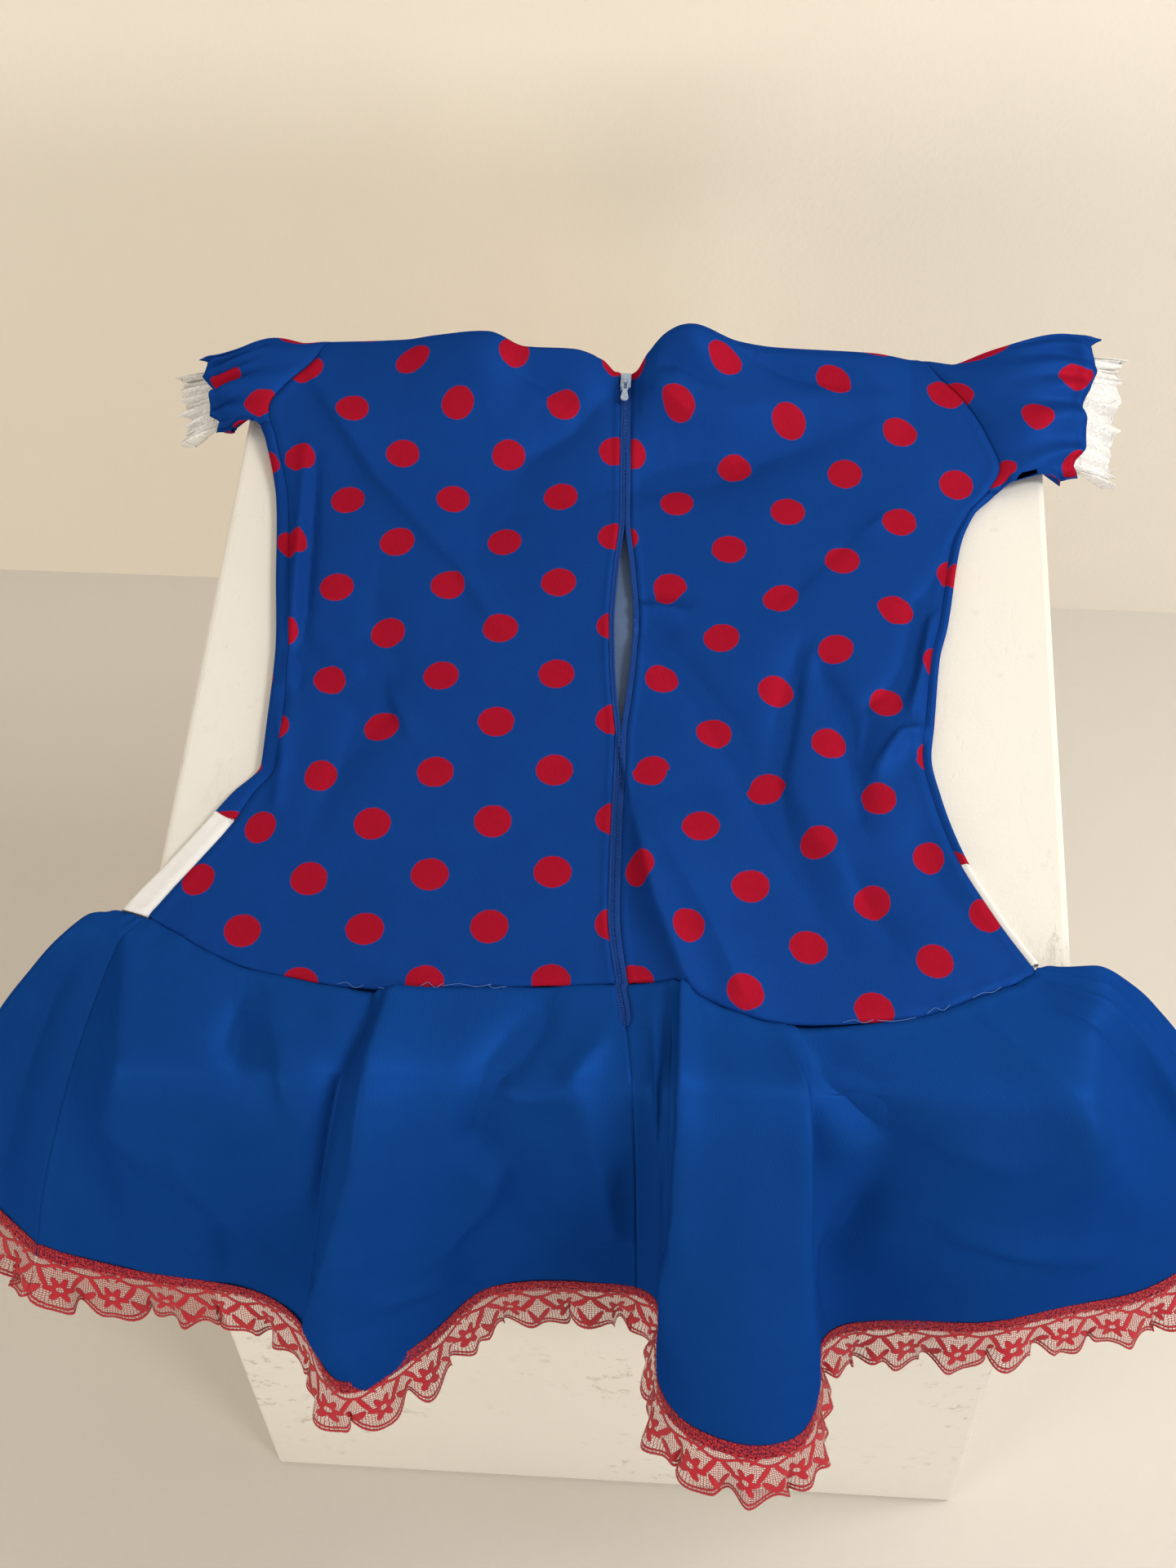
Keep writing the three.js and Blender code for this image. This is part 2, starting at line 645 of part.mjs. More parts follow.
// A point of a flattened cuff loop, drawn in by inset and waved by gathers
function cuffPoint(frame, turn, inset, wave) {
  const round = (1 - Math.cos(2 * Math.PI * turn)) / 2;
  const span = frame.low.distanceTo(frame.high);
  const share = lerp(inset / span, 1 - inset / span, round);
  const height = (frame.half - inset) * Math.sin(2 * Math.PI * turn);
  const ripple = wave * Math.sin(2 * Math.PI * CUFF_WAVES * turn);
  const side = Math.sin(2 * Math.PI * turn) >= 0 ? 1 : -1;
  return frame.low
    .clone()
    .lerp(frame.high, share)
    .addScaledVector(frame.up, height + side * ripple * 0.7)
    .addScaledVector(frame.along, Math.abs(ripple) * 0.4);
}

const SLEEVE_REST = 10; // middle of the sleeve's underside above the plinth

const SLEEVE_ROWS = [0, 0.14, 0.28, 0.42, 0.56, 0.76, 1];

function sleeve(side) {
  const frame = cuffFrame(side);
  return (turn, b) => {
    const start = armhole(side, turn);
    start.x += Math.sign(frame.along.x) * ARMHOLE_GAP;
    const end = cuffPoint(frame, turn, 0, 1.2 * b);
    const point = start.lerp(end, b);
    const fullness = frame.puff * Math.sin(Math.PI * b) ** 0.8 * Math.sin(2 * Math.PI * turn);
    point.addScaledVector(frame.up, fullness > 0 ? fullness : fullness * 0.4);
    return keepClear(point, lerp(REST, SLEEVE_REST, smooth(b * 4)));
  };
}

function cuffFrill(side) {
  const frame = cuffFrame(side);
  return (turn, q) => {
    const wave = lerp(0.8, FRILL.wave, smooth(q * 1.2));
    const point = cuffPoint(frame, turn, frame.inset, wave);
    point.addScaledVector(frame.along, lerp(-FRILL.inside, FRILL.length, q));
    return keepClear(point, REST);
  };
}

const uniform = (count) => Array.from({ length: count + 1 }, (_, i) => i / count);

// Columns of wall, closer together where a fold or a roll needs them
const spread = (...runs) => {
  const list = [0];
  for (const [end, count] of runs) {
    const start = list[list.length - 1];
    for (let i = 1; i <= count; i += 1) list.push(lerp(start, end, i / count));
  }
  return list;
};

// Rows of the bodice, as shares of its sides from hip seam to shoulder, where back and front meet
const sideShare = (side) => (UNDERARM[side] - HIP_SIDE[side]) / (SHOULDER - HIP_SIDE[side]);
const WHITE_SHARE = 0.15;
const BODICE_ROWS = spread(
  [WHITE_SHARE, 3],
  [0.7, 11],
  [sideShare("right"), 1],
  [sideShare("left"), 2],
  [1, 4],
);
const frontShare = (share) => (share - WHITE_SHARE) / (1 - WHITE_SHARE);
const FRONT_ROWS = BODICE_ROWS.slice(3).map(frontShare);
const WHITE_ROWS = 3;
const SECTION_COLUMNS = 25; // round the front panel's section, five for each of its stations

// The front's rolled sides end at the underarms, where the armholes begin
function belowArmholes(u, v) {
  const hair = 1e-6;
  const onLeft = 5 * u < 2 - hair;
  const onRight = 5 * u > 3 - hair;
  if (onLeft) return v < frontShare(sideShare("left")) - hair;
  return !onRight || v < frontShare(sideShare("right")) - hair;
}

const STEP_COLUMNS = spread([0.06, 1], [0.24, 6], [1, 9]);
const FRONT_COLUMNS = spread([0.145, 12], [0.3, 8], [0.74, 16], [0.9, 8], [1, 8]);
const FRONT_CUTS = [20, 36]; // columns at which the front flounce is cut, beside its two flutes
const FLUTES_END = 112; // place on the hip seam where the right half of the back flounce is cut
const FLOUNCE_ROWS = [0, 0.17, 0.31, 0.38, 0.415, 0.45, 0.54, 0.68, 0.84, 1];
const WAVE_COLUMNS = 3;

// A closed solid wall of even thickness, half of it on each side of a surface
function wall(name, material, surface, options) {
  const { across, along, thickness = CLOTH, outward = 1, tube = false } = options;
  const { covers = () => true } = options;
  const list = (count) => (Array.isArray(count) ? count : uniform(count));
  const columns = tube ? uniform(across).slice(0, -1) : list(across);
  const rows = list(along);
  const wide = columns.length;
  const cells = tube ? wide : wide - 1;
  const normalAt = tube ? outwardRound : outwardAt;
  const positions = [];
  const corners = new Map();
  const corner = (i, j, side) => {
    const key = [i % wide, j, side].join();
    if (!corners.has(key)) {
      const u = columns[i % wide];
      const away = normalAt(surface, u, rows[j], outward).multiplyScalar((side * thickness) / 2);
      corners.set(key, corners.size);
      positions.push(...surface(u, rows[j]).add(away).toArray());
    }
    return corners.get(key);
  };
  const isCell = (i, j) => {
    if (j < 0 || j >= rows.length - 1) return false;
    if (tube) return true;
    return i >= 0 && i < cells && covers(columns[i], rows[j]);
  };
  const faces = [];
  const quad = (a, b, c, d) => {
    if (outward > 0) faces.push(a, b, c, a, c, d);
    else faces.push(a, c, b, a, d, c);
  };
  for (let j = 0; j < rows.length - 1; j += 1) {
    for (let i = 0; i < cells; i += 1) {
      if (!isCell(i, j)) continue;
      const [a, b, c, d] = [[i, j], [i + 1, j], [i + 1, j + 1], [i, j + 1]].map((place) =>
        [1, -1].map((side) => corner(...place, side)),
      );
      quad(a[0], b[0], c[0], d[0]);
      quad(a[1], d[1], c[1], b[1]);
      if (!isCell(i, j - 1)) quad(a[0], a[1], b[1], b[0]);
      if (!isCell(i, j + 1)) quad(d[0], c[0], c[1], d[1]);
      if (!isCell(i - 1, j)) quad(a[0], d[0], d[1], a[1]);
      if (!isCell(i + 1, j)) quad(b[0], b[1], c[1], c[0]);
    }
  }
  const geometry = new THREE.BufferGeometry();
  geometry.setAttribute("position", new THREE.Float32BufferAttribute(positions, 3));
  geometry.setIndex(faces);
  geometry.computeVertexNormals();
  return named(name, geometry, material);
}

// The same outward direction on a surface that closes on itself across
function outwardRound(surface, u, v, outward) {
  const step = 0.004;
  const du = surface((u + step) % 1, v).sub(surface((u - step + 1) % 1, v));
  const dv = surface(u, Math.min(v + step, 1)).sub(surface(u, Math.max(v - step, 0)));
  return du.cross(dv).normalize().multiplyScalar(outward);
}

function named(name, geometry, material) {
  const mesh = new THREE.Mesh(geometry, material);
  mesh.name = name;
  return mesh;
}

const finish = (color, roughness, metalness = 0) =>
  new THREE.MeshStandardMaterial({ color, roughness, metalness });
const DOTTED = finish(0x1a4a96, 0.45);
const PLAIN_BLUE = finish(0x14408a, 0.5);
const WHITE = finish(0xe9e7e4, 0.8);
const RED_LACE = finish(0xb4122a, 0.6);
const ZIP_BLUE = finish(0x1c4d9c, 0.7);
const PULL_METAL = finish(0xa9b8cc, 0.35, 0.7);
const PAINT = finish(0xe8e2d6, 0.75);

function plinth() {
  const { side, height, edge } = PLINTH;
  const mesh = named("plinth", new RoundedBoxGeometry(side, side, height, 2, edge), PAINT);
  mesh.position.z = height / 2;
  return mesh;
}

// A closed solid for joining, from a geometry's places alone
function solidOf(geometry) {
  geometry.deleteAttribute("normal");
  geometry.deleteAttribute("uv");
  const merged = mergeVertices(geometry, 1e-4);
  return new wasm.Manifold(
    new wasm.Mesh({
      numProp: 3,
      vertProperties: merged.attributes.position.array,
      triVerts: new Uint32Array(merged.index.array),
    }),
  );
}

function geometryOf(solid) {
  const { vertProperties, triVerts } = solid.getMesh();
  const geometry = new THREE.BufferGeometry();
  geometry.setAttribute("position", new THREE.BufferAttribute(vertProperties, 3));
  geometry.setIndex(new THREE.BufferAttribute(triVerts, 1));
  geometry.computeVertexNormals();
  return geometry;
}

const outlineShape = (corners) => new THREE.Shape(corners.map(([x, y]) => new THREE.Vector2(x, y)));

// A side view drawn along the zip and upwards, given its width across the zip
function fromSide(shape, width) {
  const geometry = new THREE.ExtrudeGeometry(shape, { depth: width, bevelEnabled: false });
  geometry.translate(0, 0, -width / 2);
  geometry.rotateX(Math.PI / 2);
  geometry.rotateZ(Math.PI / 2);
  return geometry;
}

// The slider: a plate over and one under the tapes, joined at the nose, and a bridge on top
function zipSlider() {
  const { width, plate, gap, back, nose, tape } = SLIDER;
  const high = gap + plate;
  const body = outlineShape([
    [back, gap],
    [back, high],
    [nose, high],
    [nose, -high],
    [back, -high],
    [back, -gap],
    [tape, -gap],
    [tape, gap],
  ]);
  const sunk = 0.3;
  const crown = high + BRIDGE.clear + BRIDGE.bar;
  const bridge = outlineShape([
    [BRIDGE.from, high - sunk],
    [BRIDGE.from, crown],
    [BRIDGE.to, crown],
    [BRIDGE.to, high - sunk],
    [BRIDGE.to - BRIDGE.bar, high - sunk],
    [BRIDGE.to - BRIDGE.bar, high + BRIDGE.clear],
    [BRIDGE.from + BRIDGE.bar, high + BRIDGE.clear],
    [BRIDGE.from + BRIDGE.bar, high - sunk],
  ]);
  const plates = solidOf(fromSide(body, width));
  return geometryOf(plates.add(solidOf(fromSide(bridge, BRIDGE.width))));
}

// The pull tab: a flat plate whose eye straddles the bridge, its bar through the bridge.
// It is drawn about its bar, lying down the zip.
function zipPull() {
  const { arm, eye, head, waist, width, length, thick } = PULL;
  const shape = new THREE.Shape();
  shape.moveTo(-head, thick / 2);
  shape.lineTo(-head, -eye - arm / 2);
  shape.lineTo(-waist, -eye - arm * 1.6);
  shape.lineTo(-width / 2, -length + width / 2);
  shape.absarc(0, -length + width / 2, width / 2, Math.PI, 2 * Math.PI, false);
  shape.lineTo(waist, -eye - arm * 1.6);
  shape.lineTo(head, -eye - arm / 2);
  shape.lineTo(head, thick / 2);
  const inner = head - arm;
  shape.holes.push(
    outlineShape([
      [-inner, -thick / 2],
      [-inner, -eye],
      [inner, -eye],
      [inner, -thick / 2],
    ]),
  );
  const settings = { depth: thick, bevelEnabled: false, curveSegments: 5 };
  const geometry = new THREE.ExtrudeGeometry(shape, settings);
  geometry.translate(0, 0, -thick / 2);
  return geometry;
}

// The slider stands at the zip's top end, in line with the cloth there
function zipHead() {
  const at = (t) => upperPoint(zipX(t), t);
  const head = new THREE.Group();
  head.position.copy(at(ZIP_TOP - 1));
  const way = at(ZIP_TOP).sub(at(ZIP_TOP - 9));
  head.rotation.x = Math.atan2(way.z, way.y);
  head.add(named("zip_slider", zipSlider(), PULL_METAL));
  const pull = named("zip_pull", zipPull(), PULL_METAL);
  pull.position.set(0, BRIDGE.from + BRIDGE.bar * 2, SLIDER.gap + SLIDER.plate + BRIDGE.clear / 2);
  head.add(pull);
  return head;
}

const group = new THREE.Group();
group.add(plinth());

group.add(wall("back_left", DOTTED, backPanel("left"), { across: 14, along: BODICE_ROWS }));
group.add(
  wall("back_right", DOTTED, backPanel("right"), { across: STEP_COLUMNS, along: BODICE_ROWS }),
);
const bodiceEnds = (x) => [whiteTop(x) + SEAM / 2, neckFront(x)];
const whiteEnds = (x) => [hipFront(x) + SEAM / 2, whiteTop(x) - SEAM / 2];
group.add(
  wall("front_bodice", DOTTED, frontPanel(bodiceEnds), {
    across: SECTION_COLUMNS,
    along: FRONT_ROWS,
    outward: -1,
    covers: belowArmholes,
  }),
);
group.add(
  wall("front_white", WHITE, frontPanel(whiteEnds), {
    across: SECTION_COLUMNS,
    along: WHITE_ROWS,
    outward: -1,
  }),
);

for (const [side, sign] of [["left", -1], ["right", 1]]) {
  group.add(
    wall(`zip_tape_${side}`, ZIP_BLUE, zipTape(sign), {
      across: 1,
      along: 30,
      thickness: LACE,
      outward: sign,
    }),
  );
}
group.add(zipHead());

const backLeft = flounceHalf("left");
const backRight = flounceHalf("right");
const leftWaves = Math.round((hemLength.back * centreShare) / GALLOON.pitch);
const rightWaves = Math.round((hemLength.back * (1 - centreShare)) / GALLOON.pitch);
const frontTurns = column(
  FRONT_COLUMNS.map((share, i) => ({ share, turns: i / 2 })),
  "share",
  "turns",
);
group.add(
  wall("flounce_back_left", PLAIN_BLUE, backLeft, {
    across: leftWaves * WAVE_COLUMNS,
    along: FLOUNCE_ROWS,
    outward: -1,
  }),
);
// The front flounce and the right half of the back one are each one piece of cloth. They are
// built as walls side by side, cut apart by a hair at the places where their flutes begin.
const cutOut = (columns, first, last, gap) => {
  const from = first === 0 ? 0 : columns[first] + gap;
  const to = last === columns.length - 1 ? 1 : columns[last] - gap;
  return columns.slice(first, last + 1).map((u) => clamp(u, from, to));
};
const rightColumns = uniform(rightWaves * WAVE_COLUMNS);
const flutesEnd = Math.round(
  ((column(backThreads, "seam", "share")(FLUTES_END) - centreShare) / (1 - centreShare)) *
    rightWaves *
    WAVE_COLUMNS,
);
const rightGap = SEAM / (hemLength.back * (1 - centreShare));
for (const [name, first, last] of [
  ["flounce_back_right", 0, flutesEnd],
  ["flounce_side_right", flutesEnd, rightWaves * WAVE_COLUMNS],
]) {
  group.add(
    wall(name, PLAIN_BLUE, backRight, {
      across: cutOut(rightColumns, first, last, rightGap),
      along: FLOUNCE_ROWS,
      outward: -1,
    }),
  );
}
const frontGap = SEAM / hemLength.front;
const FRONT_PARTS = [
  ["front_left", 0, FRONT_CUTS[0]],
  ["front", FRONT_CUTS[0], FRONT_CUTS[1]],
  ["front_right", FRONT_CUTS[1], FRONT_COLUMNS.length - 1],
].map(([name, first, last]) => [name, cutOut(FRONT_COLUMNS, first, last, frontGap)]);
for (const [name, across] of FRONT_PARTS) {
  group.add(
    wall(`flounce_${name}`, PLAIN_BLUE, flounceFront.surface, { across, along: FLOUNCE_ROWS }),
  );
}

// Each lace strip takes the columns of the flounce it is sewn on
const laceRows = [0, 0.24, 1];
const trimmed = (count, from, to) => uniform(count).map((u) => clamp(u, from, to));
const leftLace = trimmed(leftWaves * WAVE_COLUMNS, 0, 0.994);
const rightLace = trimmed(rightWaves * WAVE_COLUMNS, 0.005, 1);
for (const [name, base, columns, turns, outward, clear] of [
  ["lace_back_left", backLeft, leftLace, (u) => leftWaves * u, -1, 12],
  ["lace_back_right", backRight, rightLace, (u) => rightWaves * u, -1, 12],
  ...FRONT_PARTS.map(([part, across]) => [
    `lace_${part}`,
    flounceFront.surface,
    across,
    frontTurns,
    1,
    2.6,
  ]),
]) {
  group.add(
    wall(name, RED_LACE, galloon(base, turns, outward, clear), {
      across: columns,
      along: laceRows,
      thickness: LACE,
      outward,
    }),
  );
}

for (const side of ["left", "right"]) {
  const outward = side === "left" ? 1 : -1;
  group.add(
    wall(`sleeve_${side}`, DOTTED, sleeve(side), {
      across: CUFF_WAVES * CUFF_COLUMNS,
      along: SLEEVE_ROWS,
      outward,
      tube: true,
    }),
  );
  group.add(
    wall(`cuff_frill_${side}`, WHITE, cuffFrill(side), {
      across: CUFF_WAVES * CUFF_COLUMNS,
      along: 2,
      outward,
      tube: true,
      thickness: LACE,
    }),
  );
}

export default group;
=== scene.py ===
# %% [markdown]
# # A rag doll costume dress on a display plinth
# The dress lies face down on a white plinth: dotted stretch satin above, a plain satin flounce
# below that falls over the front edge, red lace at its hem and white frills at its cuffs.
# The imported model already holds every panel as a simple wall. This file makes the cloth that is
# seen: thin shells on the same form, with finer folds, real lace, stitches and zip teeth.

import math

import bpy
import numpy as np
from mathutils import Matrix, Vector


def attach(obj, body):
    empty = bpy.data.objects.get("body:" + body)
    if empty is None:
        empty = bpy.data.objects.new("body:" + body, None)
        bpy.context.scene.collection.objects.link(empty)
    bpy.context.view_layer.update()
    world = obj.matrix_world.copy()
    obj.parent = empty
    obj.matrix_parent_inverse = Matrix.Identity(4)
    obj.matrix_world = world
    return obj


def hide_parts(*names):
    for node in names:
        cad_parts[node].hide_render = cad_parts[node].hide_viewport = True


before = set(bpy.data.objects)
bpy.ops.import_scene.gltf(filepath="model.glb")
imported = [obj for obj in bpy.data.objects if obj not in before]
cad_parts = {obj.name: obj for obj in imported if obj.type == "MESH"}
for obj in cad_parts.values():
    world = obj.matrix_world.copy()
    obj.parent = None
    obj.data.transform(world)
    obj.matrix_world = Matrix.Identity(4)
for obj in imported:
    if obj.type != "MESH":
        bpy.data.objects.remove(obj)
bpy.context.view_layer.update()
MM = 0.001

# %% [markdown]
# ## The sizes
# Every size is in millimetres, as a dressmaker would note it, and each table has a row for each
# place along a seam, fold or hem. The same tables shaped the plain walls, so the shells land
# where the walls are. The origin is the middle of the plinth's underside; +Y goes to the neck.

# %% Driving sizes
PLINTH = {"side": 500, "height": 640, "edge": 4}
TOP = PLINTH["height"]
HALF = PLINTH["side"] / 2
# Gaps where two panels meet, the width of one zip tape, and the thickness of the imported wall
SEAM = 0.4
SIDE_SEAM = 0.8
HAIR = 0.1
ZIP_HALF = 3.3
WALL = 1.6
# Heights over the plinth: the cloth's underside, its rolled sides and its middle
REST = 1.3
EDGE_TOP = 4.8
CENTRE_TOP = 6.8
# How the cloth rolls over behind the neck, and how its sides roll up
ROLL = {"depth": 16, "travel": 22, "start": 130}
SIDE_ROLL = {"inside": 4, "level": 200}
LOFT = {"edge": 50, "folds": 14, "low": 16, "steep": 13}
# Places along the back, from the hip seam to the shoulders
SHOULDER = 271.5
UNDERARM = {"left": 194, "right": 161}
OPENING = 22
ZIP_TOP = 238
ZIP_END = -226
CENTRE_SEAM = 10
TINY = 1e-9
print("plinth", PLINTH["side"], "mm wide,", TOP, "mm high; zip", ZIP_TOP - ZIP_END, "mm long")


def table(columns, *rows):
    """A short table: one dict for each row, under the named columns."""
    return [dict(zip(columns.split(), row)) for row in rows]


# %% The outline of the bodice
# Silhouette of the bodice, and the strip of front panel that rolls up beside the back
LEFT_SIDE = table(
    "y outline strip",
    (-168, -267, 16),
    (-150, -256, 15),
    (-130, -243, 14),
    (-103, -227, 13),
    (-84, -216, 10),
    (-63, -202, 7),
    (-34, -203, 7),
    (13, -205, 6),
    (75, -213, 6),
    (139, -222, 5),
    (185, -235, 2),
    (199, -240, 1.5),
    (222, -228, 1.5),
    (245, -211, 1.5),
    (272, -201, 1.5),
)
RIGHT_SIDE = table(
    "y outline strip",
    (-178, 236, 3),
    (-145, 215, 3),
    (-104, 194, 3),
    (-66, 182, 3),
    (-39, 177, 3),
    (-16, 179, 3),
    (32, 183, 3),
    (56, 188, 3),
    (119, 197, 3),
    (145, 206, 1.5),
    (163, 220, 1.5),
    (174, 223, 1.5),
    (200, 215, 1.5),
    (227, 201, 1.5),
    (250, 183, 1.5),
    (272, 168, 1.5),
)

# %% The neck and the zip
# Where the upper cloth rolls over behind, how high, and where the two neck edges are cut
NECK = table(
    "x crest crestY back front",
    (-205, 16, 250, 271.5, 271.5),
    (-154, 22, 250, 271.5, 271.5),
    (-134, 28, 250, 271.5, 271.5),
    (-102, 34, 250, 261, 240),
    (-76, 27, 250, 251, 210),
    (-45, 25, 250, 252, 194),
    (-27, 20, 250, 249, 190),
    (-17, 14.8, 250, 243, 189),
    (-7, 14.8, 250, 243, 189),
    (2, 27, 251, 249, 192),
    (14, 38, 253, 257, 198),
    (29, 43, 254, 266, 214),
    (59, 30, 251, 271, 250),
    (82, 26, 250, 271.5, 271.5),
    (143, 23, 250, 271.5, 271.5),
    (168, 16, 250, 271.5, 271.5),
)
# The centre back line, and how far the opened zip stands apart
ZIP_LINE = table(
    "y x apart",
    (-228, 20, 0),
    (-196, 11, 0),
    (-150, 4, 0),
    (-34, 1, 0),
    (-10, 0, 4.5),
    (20, -1, 9),
    (50, -2, 11),
    (90, -4, 6.5),
    (129, -6, 0),
    (241, -11.5, 0),
)

# %% The hip seams
# Hip seams, and the line where the white front panel begins
HIP_BACK = table(
    "x y",
    (-249, -168),
    (-191, -197),
    (-123, -207),
    (-59, -202),
    (9, -197),
    (37, -194),
    (54, -206),
    (97, -217),
    (161, -210),
    (213, -188),
    (231, -178),
)
HIP_FRONT = table(
    "x y",
    (-267, -163),
    (-249, -168),
    (-200, -186),
    (-100, -192),
    (120, -192),
    (200, -183),
    (226, -174),
    (236, -170),
)
WHITE_TOP = table(
    "x y",
    (-228, -94),
    (-212, -102),
    (-150, -112),
    (150, -114),
    (194, -110.6),
)

# %% Main folds
# Three points, height, and width to the left and right of the line
FOLDS = table(
    "name x y height left right",
    ("hip step", (9, 25, 50), (-80, -149, -212), 6, 8, 42),
    ("left edge", (-209, -199, -188), (167, 75, -40), 1.2, 6, 9),
    ("left shoulder", (-212, -155, -95), (226, 144, 75), 2, 9, 16),
    ("left waist", (-199, -174, -140), (21, -1, -25), -2.2, 10, 12),
    ("left middle", (-155, -145, -170), (77, -20, -104), -1.6, 18, 18),
    ("right diagonal", (9, 56, 120), (43, -29, -160), -2.2, 10, 16),
    ("right bust", (-2, 64, 130), (156, 178, 202), -3.2, 24, 24),
    ("right middle", (100, 94, 86), (29, -19, -88), -2, 12, 12),
    ("right waist", (113, 128, 137), (18, -19, -84), -2.4, 9, 10),
    ("right tuck", (178, 156, 146), (-20, -24, -50), 2.4, 9, 9),
)
print("main folds", len(FOLDS))

# %% Threads of the flounces
# Threads of the back flounce: place on the hip seam, place at the hem, height over the edge
BACK_THREADS = table(
    "seam x y z lift",
    (-249, -330, -283, 440, 5),
    (-218, -259, -285, 420, 6),
    (-190, -205, -290, 418, 7),
    (-165, -178, -302, 414, 9),
    (-133, -146, -342, 405, 15),
    (-100, -100, -314, 412, 11),
    (-68, -65, -280, 417, 7),
    (-24, -18, -272, 413, 6),
    (10, 22, -272, 412, 7),
    (33, 37, -284, 413, 12),
    (42, 36, -330, 424, 19),
    (50, 55, -362, 426, 22),
    (66, 90, -371, 419, 23),
    (84, 121, -360, 414, 21),
    (94, 130, -330, 414, 16),
    (104, 129, -300, 404, 11),
    (120, 143, -285, 400, 8),
    (150, 180, -281, 402, 7),
    (176, 221, -284, 410, 8),
    (198, 271, -274, 418, 9),
    (216, 325, -254, 402, 9),
    (231, 386, -216, 428, 7),
)
# Threads of the front flounce, which lies under the back and comes out at both sides
FRONT_THREADS = table(
    "station x y z lift near",
    (0.06, -332.4, -280, 438, 5, 1),
    (0.6, -374, -245, 432, 5, 1),
    (1.5, -404, -205, 430, 4, 1),
    (1.95, -376, -180, 430, 3, 0.6),
    (2.03, -318, -192, 428, 2, 0.2),
    (2.08, -272, -232, 426, 2, 0),
    (2.13, -252, -257, 424, 2, 0),
    (2.2, -205, -257, 420, 2, 0),
    (2.5, 0, -257, 414, 2, 0),
    (2.8, 205, -257, 418, 2, 0),
    (2.87, 252, -257, 424, 2, 0),
    (2.92, 274, -228, 426, 2, 0),
    (2.97, 316, -178, 428, 2, 0.2),
    (3.3, 364, -166, 430, 3, 0.6),
    (4.45, 388.5, -212.5, 430, 7, 1),
)
# How far off the plinth each layer lies on its top, and hangs at its hem
CLEAR = {"front": (REST + 0.8, 4.6), "back": (5.4, 19.0)}
print("threads", len(BACK_THREADS), "behind and", len(FRONT_THREADS), "in front")

# %% [markdown]
# ## Curves through the tables
# A seam is smooth, so each table column becomes a curve through its rows. The curve never
# overshoots between two rows, which keeps panels from crossing where rows are close together.


# %% A smooth curve through one column
def column(rows, key, name):
    """A smooth curve through one column of a table, with no overshoot."""
    ordered = sorted(rows, key=lambda row: row[key])
    keys = np.array([row[key] for row in ordered], float)
    values = np.array([row[name] for row in ordered], float)
    slopes = np.diff(values) / np.diff(keys)
    before = np.concatenate([slopes[:1], slopes])
    after = np.concatenate([slopes, slopes[-1:]])
    product = before * after
    total = np.where(np.abs(before + after) < TINY, 1.0, before + after)
    tangents = np.where(product <= 0, 0.0, 2 * product / total)

    def at(place):
        """The curve's value at one place or many."""
        x = np.clip(np.asarray(place, float), keys[0], keys[-1])
        i = np.clip(np.searchsorted(keys, x, side="right") - 1, 0, len(keys) - 2)
        span = keys[i + 1] - keys[i]
        k = (x - keys[i]) / span
        k2, k3 = k * k, k * k * k
        return (
            (2 * k3 - 3 * k2 + 1) * values[i]
            + (k3 - 2 * k2 + k) * span * tangents[i]
            + (3 * k2 - 2 * k3) * values[i + 1]
            + (k3 - k2) * span * tangents[i + 1]
        )

    return at


def lerp(a, b, k):
    """The place a share k of the way from a to b."""
    return a + (b - a) * k


def smooth(k):
    """An eased step from 0 to 1."""
    c = np.clip(k, 0, 1)
    return c * c * (3 - 2 * c)


def hump(distance, width):
    """A soft hump: 1 at no distance, fading away over a width."""
    return np.exp(-((distance / width) ** 2))


outline_left = column(LEFT_SIDE, "y", "outline")
outline_right = column(RIGHT_SIDE, "y", "outline")
strip_left = column(LEFT_SIDE, "y", "strip")
strip_right = column(RIGHT_SIDE, "y", "strip")
crest = column(NECK, "x", "crest")
crest_y = column(NECK, "x", "crestY")
neck_back = column(NECK, "x", "back")
neck_front = column(NECK, "x", "front")
zip_x = column(ZIP_LINE, "y", "x")
zip_apart = column(ZIP_LINE, "y", "apart")
hip_back = column(HIP_BACK, "x", "y")
hip_front = column(HIP_FRONT, "x", "y")
white_top = column(WHITE_TOP, "x", "y")
print("waist", float(outline_right(0) - outline_left(0)), "mm wide as it lies")
